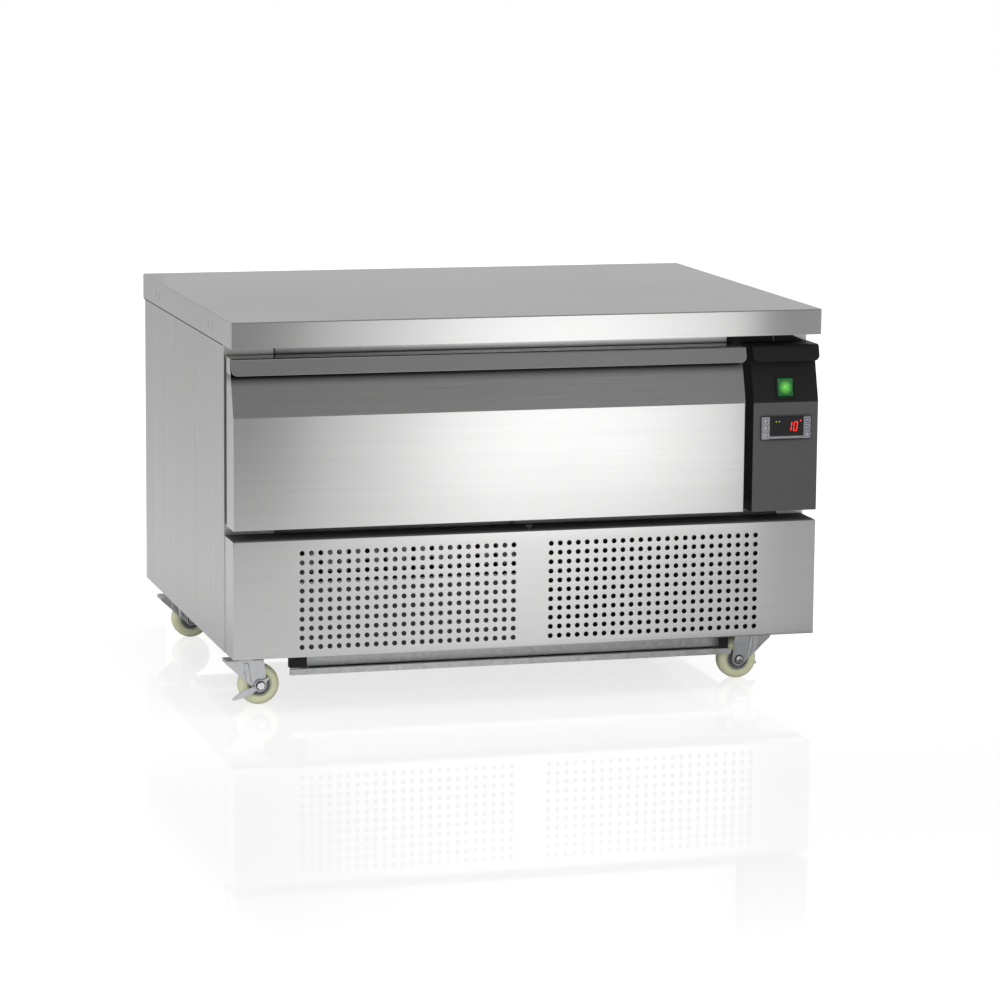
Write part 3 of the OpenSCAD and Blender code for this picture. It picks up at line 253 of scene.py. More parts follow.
def merged(mesh, dissolve=0.0):
    """Double points merged, flat faces joined if asked, and all faces turned outwards."""
    work = bmesh.new()
    work.from_mesh(mesh)
    bmesh.ops.remove_doubles(work, verts=work.verts, dist=1e-6)
    if dissolve:
        limit = math.radians(dissolve)
        bmesh.ops.dissolve_limit(work, angle_limit=limit, verts=work.verts, edges=work.edges)
    bmesh.ops.recalc_face_normals(work, faces=work.faces)
    work.to_mesh(mesh)
    work.free()


def dressed(name, mesh, material, body, bevel=0.0, node=""):
    """The object of a finished mesh: its shading, edges and material, the body that it rides on, and the
    CAD node that it stands for, if any."""
    mesh.shade_smooth()
    mesh.set_sharp_from_angle(angle=math.radians(32))
    mesh.materials.clear()
    mesh.materials.append(material)
    thing = bpy.data.objects.new(name, mesh)
    scene.collection.objects.link(thing)
    if bevel:
        edge = thing.modifiers.new("edge", "BEVEL")
        edge.width = bevel * mm
        edge.segments = 2
        edge.limit_method = "ANGLE"
        edge.angle_limit = math.radians(38)
        edge.harden_normals = True
    flat = thing.modifiers.new("flat_faces", "WEIGHTED_NORMAL")
    flat.weight = 90
    flat.keep_sharp = True
    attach(thing, body)
    if node:
        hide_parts(node)


def mesh_of(name, shape):
    """A clean mesh from points in millimetres and faces."""
    mesh = bpy.data.meshes.new(name)
    mesh.from_pydata((np.asarray(shape[0]) * mm).tolist(), [], shape[1])
    merged(mesh)
    return mesh


def piece(name, shape, material, bevel=0.0, body="cabinet"):
    """A small piece that the CAD model doesn't have."""
    dressed(name, mesh_of(name, shape), material, body, bevel)


def stand_in(node, shape, material, bevel=0.0, name=""):
    """A new shape for a CAD node, on the node's body."""
    name = name or node + "_skin"
    dressed(name, mesh_of(name, shape), material, nodes[node]["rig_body"], bevel, node)


steel_x = brushed("stainless_grain_across", stainless, 0.19, "X")
worktop_section = [(worktop_sheet, worktop_high[2] - worktop_sheet), (worktop_sheet, worktop_low[2])]
worktop_section += [(0, worktop_low[2])]
worktop_edge = arc((0, worktop_high[2] - worktop_bend), worktop_bend, 0, 90)
worktop_section += [(worktop_bend - a, b) for a, b in worktop_edge]
pan_shape = shell(worktop_low, worktop_high, worktop_corner, worktop_section, "Z")
flange_low = worktop_low + (worktop_corner, worktop_sheet / 2, 0)
flange_high = (worktop_high[0] - worktop_corner, *(worktop_low[1:] + (worktop_flange, worktop_sheet)))
stand_in("worktop", joined(pan_shape, block(flange_low, flange_high)), steel_x)

# Pressed marks on the worktop's side skirts: short upright ridges struck in the stainless sheet, in
# pairs over the clips that hold the board.
mark_half, mark_relief, mark_slant = np.array([1.2, 6]), 0.1, 0.3
mark_z, mark_distances = 549.5, (126, 160, 537, 568)
mark_finish = plain_finish("pressed_marks", shaded(stainless, 0.5), 1.0, 0.5)
tint(mark_finish, noise_in(mark_finish, 450), shaded(stainless, 0.3), shaded(stainless, 0.85))
marks = []
for side, x in ((-1, worktop_low[0]), (1, worktop_high[0])):
    for distance in mark_distances:
        middle = np.array([worktop_low[1] + distance, mark_z])
        section = [(0, x - side), (0, x), (mark_slant, x + side * mark_relief)]
        marks.append(shell(middle - mark_half, middle + mark_half, mark_half[0], section, "X"))
piece("worktop_marks", joined(*marks), mark_finish)

# Board: plywood that stiffens the worktop, cut to the pan's inside and bonded into it, so that it is seen
# only from below.
plywood_light = (0.44, 0.38, 0.30)


def emboss(material, height, depth, strength=1.0):
    """A bump from the height, of that depth in metres."""
    bump = node_in(material, "Bump", {"Height": height, "Distance": depth, "Strength": strength})
    into(material, "Normal", bump.outputs["Normal"])


def kept(node, material):
    """A CAD node whose shape is right stays, in a better material."""
    nodes[node].data.materials.clear()
    nodes[node].data.materials.append(material)


plywood = plain_finish("plywood", plywood_light, 0.0, 0.6)
tint(plywood, noise_in(plywood, (9.0, 160.0, 160.0), 4.0), shaded(plywood_light, 0.65), plywood_light)
emboss(plywood, noise_in(plywood, (20.0, 400.0, 400.0)), 0.0002, 0.4)
kept("worktop_board", plywood)

# Cabinet shell: folded stainless side panels with a front frame between their flanges, riveted to a
# galvanised back, rear grille and base frame. Zinc shows as crystals of slightly different grey.
zinc_grey, zinc_crystals = (0.60, 0.605, 0.61), 140.0


def softened(node, material, bevel=0.3):
    """A merged copy of a CAD node with its hard edges rounded, which stands for the node."""
    mesh = nodes[node].data.copy()
    merged(mesh, 0.4)
    dressed(node + "_skin", mesh, material, nodes[node]["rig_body"], bevel, node)


def shade_by(material, factor):
    """Multiply a material's colour by a factor of its own."""
    colour = material.node_tree.nodes["Principled BSDF"].inputs["Base Color"].links[0].from_socket
    inputs = {"Factor": 1.0, "A": colour, "B": factor}
    shade = node_in(material, "Mix", inputs, data_type="RGBA", blend_type="MULTIPLY")
    into(material, "Base Color", shade.outputs["Result"])
    return material


def shade_corners(material, reach, power):
    """Painted shade: darken a material's colour close to other surfaces, as far as the reach in millimetres.
    """
    corners = node_in(material, "AmbientOcclusion", {"Distance": reach * mm}, samples=8)
    return shade_by(material, math_of(material, corners.outputs["AO"], power, "POWER"))


def galvanised(name, colour, roughness=0.42, metallic=0.65):
    """Galvanised sheet: zinc crystals as cells of different grey and gloss, under a fine haze."""
    material = plain_finish(name, colour, metallic, roughness)
    cells = texture_in(material, "Voronoi", zinc_crystals, Scale=1.0).outputs["Color"]
    grey = node_in(material, "SeparateColor", {"Color": cells}).outputs["Red"]
    haze = noise_in(material, 18.0, 4.0)
    tint(material, math_of(material, grey, haze), shaded(colour, 0.82), shaded(colour, 1.3))
    spread = remap(material, haze, roughness - 0.05, roughness + 0.06)
    gloss = remap(material, grey, -0.07, 0.07, 0, 1)
    into(material, "Roughness", math_of(material, gloss, spread, "ADD"))
    emboss(material, haze, 0.00008, 0.25)
    return material


# Painted light: the side panels' stainless is 6 % lighter than the other sheets, which brightens that side.
steel_z = brushed("stainless_grain_upright", shaded(stainless, 1.06), 0.36, "Z", 0.5, 0.09, 480.0)
# Painted shade: the front frame's stainless is darkened near other surfaces, in its recess and folds.
steel_corner_shade = shade_corners(brushed("stainless_painted_corner_shade", stainless, 0.19, "X"), 16, 2.0)
zinc_sheet = galvanised("galvanised_sheet", zinc_grey)
softened("left_side_panel", steel_z, 0.4)
softened("right_side_panel", steel_z, 0.4)
softened("front_frame", steel_corner_shade)
for node in ("back_panel", "rear_grille", "base_frame", "machine_tray"):
    softened(node, zinc_sheet)


# Gap shadows: painted shadow, a thin dark strip under the worktop along each side panel and another
# down the front frame's left end, which darkens those gaps.
gap_shadow_finish = plain_finish("painted_gap_shadow", (0.03, 0.03, 0.03), 0.0, 0.6)
cabinet_low, frame_low = box("left_side_panel")[0], box("front_frame")[0]
seam_x, seam_half, seam_height, seam_back, seam_top = 444.4, 0.7, 1.6, 333, worktop_low[2]
end_seam_half, end_seam_low, end_seam_high = 0.8, 500, 547
seams = [block((side * seam_x - seam_half, cabinet_low[1] + 4, seam_top - seam_height),
               (side * seam_x + seam_half, seam_back, seam_top)) for side in (-1, 1)]
seams.append(block((frame_low[0] - end_seam_half, frame_low[1] - 0.5, end_seam_low),
                   (frame_low[0] + end_seam_half, frame_low[1] + 0.4, end_seam_high)))
piece("cabinet_gap_shadows", joined(*seams), gap_shadow_finish)

# Cold room: polyurethane foam blown between the skins, with a liner of coated sheet folded to a box in
# it. The drawer front is filled with the same foam.
foam_colour = (0.62, 0.52, 0.26)


def grained(name, colour, metallic, roughness, scale, depth, strength, **sockets):
    """A plain finish with a fine noise bump."""
    material = plain_finish(name, colour, metallic, roughness, **sockets)
    emboss(material, noise_in(material, scale), depth, strength)
    return material


foam = grained("foam", foam_colour, 0.0, 0.9, 1200.0, 0.0004, 0.5)
tint(foam, noise_in(foam, 900.0), shaded(foam_colour, 0.7), foam_colour)
liner_sheet = grained("coated_liner", (0.55, 0.57, 0.58), 0.55, 0.42, 60.0, 0.0001, 0.15)
kept("insulation", foam)
kept("drawer_insulation", foam)
softened("inner_liner", liner_sheet, 0.6)

# Drawer front's upper sheet: stainless, folded from one piece into the slope, the top plate and the lip
# that hangs from it as a grip. The control box has the same outline.
face_low, face_high = box("drawer_face_panel")
cap_low, cap_high = box("drawer_handle_cap")
face_y, door_back, break_z, door_top = face_low[1], face_high[1], face_high[2], cap_high[2]
front_sheet, slope_run = 1, 23.5
slope_top = door_top - front_sheet
slope_angle = math.atan2(slope_run, slope_top - break_z)
lip_height, lip_back, lip_corner, nose_radius = 23.5, 0.5, 8.5, 5
lip_drop = lip_height - nose_radius + nose_radius * math.sin(slope_angle)
lip_length = lip_drop / math.cos(slope_angle)
nose_y = face_y + lip_back + lip_drop * math.tan(slope_angle) + nose_radius * math.cos(slope_angle)
nose = (nose_y, door_top - nose_radius)
lip_down = np.array([-math.sin(slope_angle), -math.cos(slope_angle)])
lip_shade_reach, lip_shade = 19, 0.2


def grip(low_x, high_x):
    """The top plate with its bend and the hanging lip, whose lower corners are circles, as one outline
    for each place along x."""
    start = 180 - math.degrees(slope_angle)
    outer = np.array(arc(nose, nose_radius, start, 90, 8))
    inner = np.array(arc(nose, nose_radius - front_sheet, 90, start, 8))
    plate_end = [(door_back, door_top), (door_back, door_top - front_sheet)]
    places = lip_corner * (1 - np.cos(np.linspace(0, math.pi / 2, 8)))
    made = []
    for x in [*(low_x + places), *(high_x - places[::-1])]:
        inward = max(0.0, lip_corner - min(x - low_x, high_x - x))
        foot = (lip_length - lip_corner + math.sqrt(lip_corner ** 2 - inward ** 2)) * lip_down
        outline = [outer[0] + foot, *outer, *plate_end, *inner, inner[-1] + foot]
        made.append(raised(np.array(outline), x, "X"))
    return skin(made)


def own_place(owner):
    """The outputs X, Y and Z of a surface's place in its object, in metres."""
    return node_in(owner, "SeparateXYZ", {"Vector": node_in(owner, "TexCoord").outputs["Object"]}).outputs


def eased(owner, value, start, end, low, high):
    """A value that eases from low to high while another goes from start to end."""
    return remap(owner, value, low, high, start, end, "SMOOTHSTEP")


def within(owner, value, low, high):
    """One where a value lies between two numbers, and nought elsewhere."""
    inputs = {0: value, 1: (low + high) / 2, 2: (high - low) / 2}
    return node_in(owner, "Math", inputs, operation="COMPARE").outputs[0]


def shade_below(material, height, reach, darkest):
    """Painted shadow: darken a material's colour from a height down, as far as the reach, all in millimetres.
    """
    z = own_place(material)["Z"]
    low, high = (height - reach) * mm, height * mm
    depth = eased(material, z, low, high - reach * mm * 0.1, 0.0, 1.0 - darkest)
    shadow = math_of(material, within(material, z, low, high), depth)
    return shade_by(material, math_of(material, 1.0, shadow, "SUBTRACT"))


slope_outline = [(face_y, break_z), (face_y + slope_run, slope_top)]
slope_outline += [(door_back, slope_top), (door_back, break_z)]
slope_shape = prism(slope_outline, "X", face_low[0], face_high[0])
cap_steel = brushed("stainless_cap", stainless, 0.19, "X")
# Painted shadow: the slope's stainless darkens for a short way below the lip's lower edge.
shade_below(cap_steel, door_top - lip_height, lip_shade_reach, lip_shade)
cap_shape = joined(grip(cap_low[0], cap_high[0]), slope_shape)
stand_in("drawer_handle_cap", cap_shape, cap_steel, 0.35, "drawer_handle_skin")

# Drawer front's lower sheet: a flat stainless face with its four edges folded back, laid over the foam
# that holds it.
face_bend, face_corner = 1.3, 0.8
face_edge = arc((0, face_y + face_bend), face_bend, 0, -90)
face_section = [(0, door_back), *[(face_bend - a, b) for a, b in face_edge]]
face_shape = shell(face_low[[0, 2]], face_high[[0, 2]], face_corner, face_section, "Y")
stand_in("drawer_face_panel", face_shape, steel_x, name="drawer_face_skin")

# Drawer's back: a white plastic panel, moulded with its field sunk a little, and a magnetic gasket of
# soft dark rubber round it.
white_plastic = grained("white_plastic", (0.72, 0.73, 0.72), 0.0, 0.4, 900.0, 0.00004, 0.2)
panel_low, panel_high = box("drawer_inner_panel")
panel_field, panel_corner, panel_back = 46, 6, panel_high[1]
panel_section = [(0, panel_low[1]), (0, panel_back), (panel_field, panel_back)]
panel_section += [(panel_field + 3, panel_back - 2), (panel_field + 4, panel_back - 1.4)]
panel_shape = shell(panel_low[[0, 2]], panel_high[[0, 2]], panel_corner, panel_section, "Y")
stand_in("drawer_inner_panel", panel_shape, white_plastic, name="drawer_inner_skin")
gasket_low, gasket_high = box("drawer_gasket")
gasket_depth, gasket_corner = gasket_high[1] - gasket_low[1], 9
gasket_rubber = plain_finish("gasket_rubber", (0.055, 0.056, 0.058), 0.0, 0.55)
gasket_plan = [(2, 0), (12, 0), (12, 0.2), (10.2, 0.3), (11.4, 0.42), (10.2, 0.54), (13.2, 0.62), (14, 0.75),
               (13.2, 1), (0.8, 1), (0, 0.75), (0.8, 0.62), (3.8, 0.54), (2.6, 0.42), (3.8, 0.3), (2, 0.2)]
gasket_section = [(inset, gasket_low[1] + share * gasket_depth) for inset, share in gasket_plan]
outer_low, outer_high = gasket_low[[0, 2]], gasket_high[[0, 2]]
gasket_shape = shell(outer_low, outer_high, gasket_corner, gasket_section, "Y", around=True)
stand_in("drawer_gasket", gasket_shape, gasket_rubber)

# Drawer box: a deep tray pressed from coated sheet, with round corners and a rolled rim, hung on the
# slides' ledges.
tray_low, tray_high = box("drawer_box")
rim, wall, tray_corner, base_radius, tray_top = 4, 1, 22, 10, tray_high[2]
base_centre, inner_base = (0, tray_low[2] + base_radius), base_radius - wall
tray_section = [(base_radius - a, b) for a, b in arc(base_centre, base_radius, -90, 0, 6)]
tray_section += [(0, tray_top - 2), (1 - rim, tray_top - 2), (0.4 - rim, tray_top - 1.4)]
tray_section += [(0.4 - rim, tray_top - 0.6), (1 - rim, tray_top), (wall - 1, tray_top), (wall, tray_top - 1)]
tray_section += [(base_radius - a, b) for a, b in arc(base_centre, inner_base, 0, -90, 6)]
rim_inset = np.array([rim, rim, 0])
tray_shape = shell(tray_low + rim_inset, tray_high - rim_inset, tray_corner, tray_section, "Z", 8)
stand_in("drawer_box", tray_shape, liner_sheet)

# Telescopic slides: three members of zinc-plated channel a side, one inside the other, the outermost
# screwed to the liner and the innermost to the drawer.
slide_zinc = plain_finish("slide_zinc", (0.55, 0.56, 0.58), 1.0, 0.3)
into(slide_zinc, "Roughness", remap(slide_zinc, noise_in(slide_zinc, (40.0, 6.0, 40.0)), 0.24, 0.4))
for node in ("slide_outer_members", "slide_mid_left", "slide_mid_right", "slide_inner_members"):
    softened(node, slide_zinc, 0.25)


# Control box: a case of black painted sheet with the drawer front's outline and an upstand at its back,
# and a grey painted plate on its lower face. Two small screws hold it at its left side.
control_black = grained("black_paint", (0.0135, 0.0135, 0.0138), 0.0, 0.42, 1600.0, 0.00003, 0.25,
                        Specular_IOR_Level=0.22)
fascia_grey = grained("grey_paint", (0.075, 0.075, 0.0775), 0.0, 0.45, 1600.0, 0.00003, 0.2,
                      Specular_IOR_Level=0.4)
softened("control_housing", control_black, 0.4)
softened("control_fascia", fascia_grey, 0.2)
seam_finish = plain_finish("bare_edge", (0.32, 0.32, 0.33), 0.8, 0.4)
upstand_seam = block((389.5, -282.2, 516), (390.4, -281.4, 524))
piece("upstand_edge", upstand_seam, seam_finish)


def turned(profile, centre, axis, sides=48, start=0.0, around=False):
    """A solid turned about an axis from its (radius, depth) profile, closed by flat ends or around."""
    angle = np.linspace(0, 2 * math.pi, sides, endpoint=False) + start
    circle = np.stack([np.cos(angle), np.sin(angle)], 1)
    return skin([raised(np.array(centre) + max(r, 0.01) * circle, d, axis) for r, d in profile], around)


screw_zinc = plain_finish("screw_zinc", (0.42, 0.42, 0.43), 1.0, 0.32)
screw_low, screw_high = box("control_screws")
head_radius, head_height, shank_radius = 3, 1.4, 1.5
head = [(0, 0.9), (0.8, 0.9), (0.8, 0), (2, 0.15), (head_radius, 0.8), (head_radius, head_height)]
head = [(r, screw_low[0] + d) for r, d in [*head, (shank_radius, head_height)]]
screws = []
for middle in ((screw_low + head_radius)[1:], (screw_high - head_radius)[1:]):
    screws.append(turned([*head, (shank_radius, screw_high[0])], middle, "X", 24))
stand_in("control_screws", joined(*screws), screw_zinc)
cheek_x, rivet_y, rivet_heights = box("control_fascia")[0][0], -296, (334, 354)
rivet_profile = [(0.8, cheek_x - 0.8), (1.6, cheek_x - 0.4), (1.6, cheek_x)]
rivets = [turned(rivet_profile, (rivet_y, z), "X", 16) for z in rivet_heights]
piece("cheek_rivets", joined(*rivets), screw_zinc)

# Panel controller: a moulded case whose frame is an open ring round silver printed fields. The fields
# leave openings for the six small keys, and the case is clipped into the fascia from the front.
case_low, case_high = box("controller_case")
window_low, window_high = box("display_window")
bezel_front, bezel_height, bezel_corner, case_inset = case_low[1], 37, 3, 4
bezel_black = plain_finish("bezel_plastic", (0.035, 0.035, 0.037), 0.0, 0.38)
silver_print = plain_finish("silver_print", (0.30, 0.30, 0.315), 0.5, 0.42)
blue_print = plain_finish("blue_grey_print", (0.21, 0.225, 0.27), 0.5, 0.42)
bezel_low, bezel_high = case_low[[0, 2]], (case_high[0], case_low[2] + bezel_height)
bezel_section = [(0, face_y), (0, bezel_front + 0.7), (0.2, bezel_front + 0.2), (0.7, bezel_front),
                 (1, bezel_front), (1, face_y)]
bezel_shape = shell(bezel_low, bezel_high, bezel_corner, bezel_section, "Y", around=True)
body_section = [(case_inset, case_high[1]), (case_inset, face_y)]
body_shape = shell(bezel_low, bezel_high, case_inset + 1, body_section, "Y")
window_bed = block((window_low[0] + 0.8, window_high[1], window_low[2]),
                   (window_high[0] + 0.6, face_y, window_high[2]))
stand_in("controller_case", joined(bezel_shape, body_shape, window_bed), bezel_black)
field_front, field_low, field_high, key_gap = bezel_front - 0.06, 377.2, 410.4, 0.2
field_left, window_left, window_right, field_right = 354.1, 366.7, 419.8, 430.9
strip_low, strip_high = 378, 381.2
keys_right = box("key_1")[1][0] + key_gap
key_edges = [field_low]
for number in (3, 2, 1):
    key_low, key_high = box(f"key_{number}")
    key_edges += [key_low[2] - key_gap, key_high[2] + key_gap]
key_edges.append(field_high)


def key_field(left, right):
    """The printed strips below, between and above three keys."""
    spans = zip(key_edges[::2], key_edges[1::2])
    return joined(*[block((left, field_front, low), (right, face_y, high)) for low, high in spans])


upright = block((keys_right, field_front, field_low), (window_left, face_y, field_high))
strip = block((window_left, field_front, strip_low), (window_right, window_high[1], strip_high))
left_field = joined(key_field(field_left, keys_right), upright, strip)
piece("controller_field_left", left_field, silver_print)
piece("controller_field_right", key_field(window_right, field_right), blue_print)

# Display window: a pane of dark acrylic set into the controller. The digits and the two small lights
# that shine through it are thin glowing strokes and dots on its front.
window_dark = plain_finish("dark_acrylic", (0.012, 0.011, 0.012), 0.0, 0.07)
window_front, window_corner, plate_edge = bezel_front - 0.1, 1.0, 0.3
pane_low, pane_high = (367.5, 382.2), (419, field_high)
digit_low, digit_high, digit_stroke, digit_depth = 389.2, 402.4, 1.35, 0.05
digit_slant = math.tan(math.radians(8))
one_left, one_width, nought_left, nought_width = 395.5, 4.3, 403.9, 4.9
degree_place, light_z, light_xs = (415.2, 403.9), 403.2, (376.9, 381.6)


def plate(low, high, corner, front, back):
    """A thin round-cornered plate on the controller, with its front edge rounded off."""
    bent_edge = [(0, front + plate_edge), (plate_edge * 0.3, front + plate_edge * 0.3), (plate_edge, front)]
    return shell(low, high, corner, [(0, back), *bent_edge], "Y")


def glowing(name, colour, strength):
    """A plain finish that gives off light of its own colour."""
    return plain_finish(name, colour, 0.0, 0.4, Emission_Color=(*colour, 1.0), Emission_Strength=strength)


def bar(start, end, width, pointed=True):
    """The outline of a straight stroke, with pointed or square ends."""
    start, end = np.array(start, float), np.array(end, float)
    along = (end - start) / np.linalg.norm(end - start)
    across = np.array([-along[1], along[0]]) * width / 2
    tip = along * width / 2 * pointed
    outline = [start, start + tip + across, end - tip + across, end, end - tip - across, start + tip - across]
    return [p for k, p in enumerate(outline) if pointed or k % 3]


def digit(left, width, strokes):
    """The strokes of a digit round two squares: a on top, then clockwise to f, leaning to the right."""
    x0, x1, z0, z2 = left, left + width, digit_low, digit_high
    z1 = (z0 + z2) / 2
    ends = {"a": ((x0, z2), (x1, z2)), "b": ((x1, z2), (x1, z1)), "c": ((x1, z1), (x1, z0)),
            "d": ((x0, z0), (x1, z0)), "e": ((x0, z1), (x0, z0)), "f": ((x0, z2), (x0, z1))}
    made = []
    for stroke in strokes:
        outline = [(x + (z - digit_low) * digit_slant, z) for x, z in bar(*ends[stroke], digit_stroke)]
        made.append(prism(outline, "Y", window_front - digit_depth, window_front))
    return joined(*made)


window_shape = plate(pane_low, pane_high, window_corner, window_front, window_high[1])
stand_in("display_window", window_shape, window_dark)
lit_front = window_front - digit_depth
degree = turned([(0.5, lit_front), (1.1, lit_front), (1.1, window_front)], degree_place, "Y", 12)
number_ten = joined(digit(one_left, one_width, "bc"), digit(nought_left, nought_width, "abcdef"), degree)
piece("display_digits", number_ten, glowing("digit_red", (1.0, 0.02, 0.012), 1.1))
dots = [turned([(0.75, lit_front), (0.75, window_front)], (x, light_z), "Y", 14) for x in light_xs]
piece("display_lights", joined(*dots), glowing("light_green", (0.42, 0.62, 0.02), 0.7))

# Keys: six small silver plastic caps in the openings of the printed fields, each with a pale sign and
# rim printed on it, on springs of their own.
key_front, key_corner = bezel_front - 0.5, 1.5
sign_front = key_front - 0.04
pale_print = plain_finish("pale_print", (0.60, 0.60, 0.63), 0.0, 0.5)
keys_silver = plain_finish("key_silver", (0.19, 0.19, 0.20), 0.45, 0.4)
keys_blue = plain_finish("key_blue_grey", (0.15, 0.16, 0.20), 0.45, 0.4)


def ring_sign(centre, radius, stroke=0.7):
    """A printed ring."""
    inner = radius - stroke
    profile = [(inner, key_front), (inner, sign_front), (radius, sign_front), (radius, key_front)]
    return turned(profile, centre, "Y", 20, around=True)


def stroke_sign(start, end, width=0.75):
    """A printed stroke."""
    return prism(bar(start, end, width, False), "Y", sign_front, key_front)


def key_sign(number, centre):
    """The sign of a key: a star, a ring with a dot, bars, an arrow up, an arrow down and a ring."""
    x, z = centre
    if number == 1:
        spokes = [np.array([math.cos(a), math.sin(a)]) * 2.6 for a in np.radians((90, 30, -30))]
        return joined(*[stroke_sign((x - s[0], z - s[1]), (x + s[0], z + s[1])) for s in spokes])
    if number == 2:
        return joined(ring_sign(centre, 2.5), turned([(0.9, sign_front), (0.9, key_front)], centre, "Y", 12))
    if number == 3:
        return joined(*[stroke_sign((x - 2.8, z + d), (x + 2.8, z + d)) for d in (-1.9, 0, 1.9)])
    if number in (4, 5):
        tip = 1.3 if number == 4 else -1.3
        return joined(*[stroke_sign((x + s * 2.4, z - tip), (x, z + tip)) for s in (-1, 1)])
    return joined(ring_sign(centre, 2.4), stroke_sign((x, z - 0.6), (x, z + 1.6)))


rim_section = [(0.3, key_front), (0.3, sign_front), (0.8, sign_front), (0.8, key_front)]
for number in range(1, 7):
    node = f"key_{number}"
    key_low, key_high = box(node)
    low, high = key_low[[0, 2]], key_high[[0, 2]]
    key_shape = plate(low, high, key_corner, key_front, key_high[1])
    stand_in(node, key_shape, keys_silver if number < 4 else keys_blue)
    rim_shape = shell(low, high, key_corner + 0.3, rim_section, "Y", around=True)
    sign_shape = joined(key_sign(number, (low + high) / 2), rim_shape)
    piece(node + "_sign", sign_shape, pale_print, body=nodes[node]["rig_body"])


# Mains switch: a snap-in frame of black plastic round a translucent green rocker, which a lamp behind
# its middle lights.
switch_black = plain_finish("switch_plastic", (0.006, 0.006, 0.0075), 0.0, 0.25)
rocker_dark, rocker_bright = (0.006, 0.065, 0.014), (0.26, 0.95, 0.12)
rocker_middle, glow_radius = (392.5, 0, 453.5), 13
rocker_green = plain_finish("lit_rocker", shaded(rocker_dark, 1.2), 0.0, 0.25, Emission_Strength=0.75)
glow_scale = 1 / (glow_radius * mm)
glow_offset = [-c / glow_radius for c in rocker_middle]
glow = texture_in(rocker_green, "Gradient", (glow_scale, 0.0, glow_scale), glow_offset)
glow.gradient_type = "SPHERICAL"
patches = remap(rocker_green, noise_in(rocker_green, 260.0), 0.75, 1.1)
bright = math_of(rocker_green, remap(rocker_green, glow.outputs["Fac"], 0.0, 0.95, 0.18, 0.95), patches)
tint(rocker_green, bright, rocker_dark, rocker_bright, "Emission Color")
softened("switch_bezel", switch_black, 0.5)
softened("switch_rocker", rocker_green, 0.6)

# Base panel: one stainless sheet with two fields of punched air holes, each hole's edge rolled in a
# little, on the folded surround behind it.
base_low, base_high = box("base_grille")
hole_radius, hole_roll, hole_pitch = 3.5, 0.6, 13.75
hole_columns, hole_rows, hole_sides = 24, 11, 24
field_centres, field_z, base_bend = (-183, 190), 165.55, 1.2


def perforated():
    """The panel: flat squares, those in the fields with a hole in four many-sided faces, on both sides,
    the holes' walls between them, and the bend round the outside."""
    front, back = base_low[1], base_high[1]
    half = hole_columns * hole_pitch / 2
    fields = [np.linspace(c - half, c + half, hole_columns + 1) for c in field_centres]
    xs = np.concatenate([[base_low[0] + base_bend], *fields, [base_high[0] - base_bend]])
    z_half = hole_rows * hole_pitch / 2
    zs = np.linspace(field_z - z_half, field_z + z_half, hole_rows + 1)
    zs = np.concatenate([[base_low[2] + base_bend], zs, [base_high[2] - base_bend]])
    last = 2 * hole_columns + 1
    holed = [1 <= i <= last and i != hole_columns + 1 for i in range(len(xs) - 1)]
    points, faces = [], []
    for y in (front, back):
        points += [(x, y, z) for z in zs for x in xs]
    side, wide = len(points) // 2, len(xs)
    angle = np.linspace(-0.75 * math.pi, 1.25 * math.pi, hole_sides, endpoint=False)
    circle = np.stack([np.cos(angle), np.sin(angle)], 1)
    quarter = hole_sides // 4
    rolled = ((hole_roll, 0), (hole_roll * 0.35, hole_roll * 0.3), (0, hole_roll))
    rings_at = [(hole_radius + out, front + down) for out, down in rolled] + [(hole_radius, back)]
    for j in range(len(zs) - 1):
        for i in range(wide - 1):
            corner = j * wide + i
            square = [corner, corner + 1, corner + wide + 1, corner + wide]
            if not (holed[i] and 1 <= j <= hole_rows):
                faces += [square, [k + side for k in square]]
                continue
            centre = np.array([(xs[i] + xs[i + 1]) / 2, (zs[j] + zs[j + 1]) / 2])
            first = len(points)
            for r, y in rings_at:
                points += [(p[0], y, p[1]) for p in centre + r * circle]
            for k in range(3):
                for s in range(hole_sides):
                    a, b = first + k * hole_sides + s, first + k * hole_sides + (s + 1) % hole_sides
                    faces.append([a, b, b + hole_sides, a + hole_sides])
            for q in range(4):
                steps = [(q * quarter + s) % hole_sides for s in range(quarter + 1)]
                for shift, ring in ((0, first), (side, first + 3 * hole_sides)):
                    edge = [square[q] + shift, square[(q + 1) % 4] + shift]
                    faces.append(edge + [ring + s for s in steps[::-1]])
    top, right = len(zs) - 1, wide - 1
    outline = [(i, 0) for i in range(wide)] + [(right, j) for j in range(1, top + 1)]
    outline += [(i, top) for i in range(right - 1, -1, -1)] + [(0, j) for j in range(top - 1, 0, -1)]
    outward = [(int(i == right) - int(i == 0), int(j == top) - int(j == 0)) for i, j in outline]
    previous = [j * wide + i for i, j in outline]
    for a in np.radians((30, 60, 90)):
        first = len(points)
        out, y = base_bend * math.sin(a), front + base_bend * (1 - math.cos(a))
        points += [(xs[i] + out * ox, y, zs[j] + out * oz) for (i, j), (ox, oz) in zip(outline, outward)]
        ring = list(range(first, len(points)))
        faces += [[previous[k - 1], previous[k], ring[k], ring[k - 1]] for k in range(len(ring))]
        previous = ring
    inner = [j * wide + i + side for i, j in outline]
    faces += [[previous[k - 1], previous[k], inner[k], inner[k - 1]] for k in range(len(inner))]
    return np.array(points), faces


stand_in("base_grille", perforated(), steel_x, name="base_panel_skin")
softened("base_surround", steel_x, 0.35)

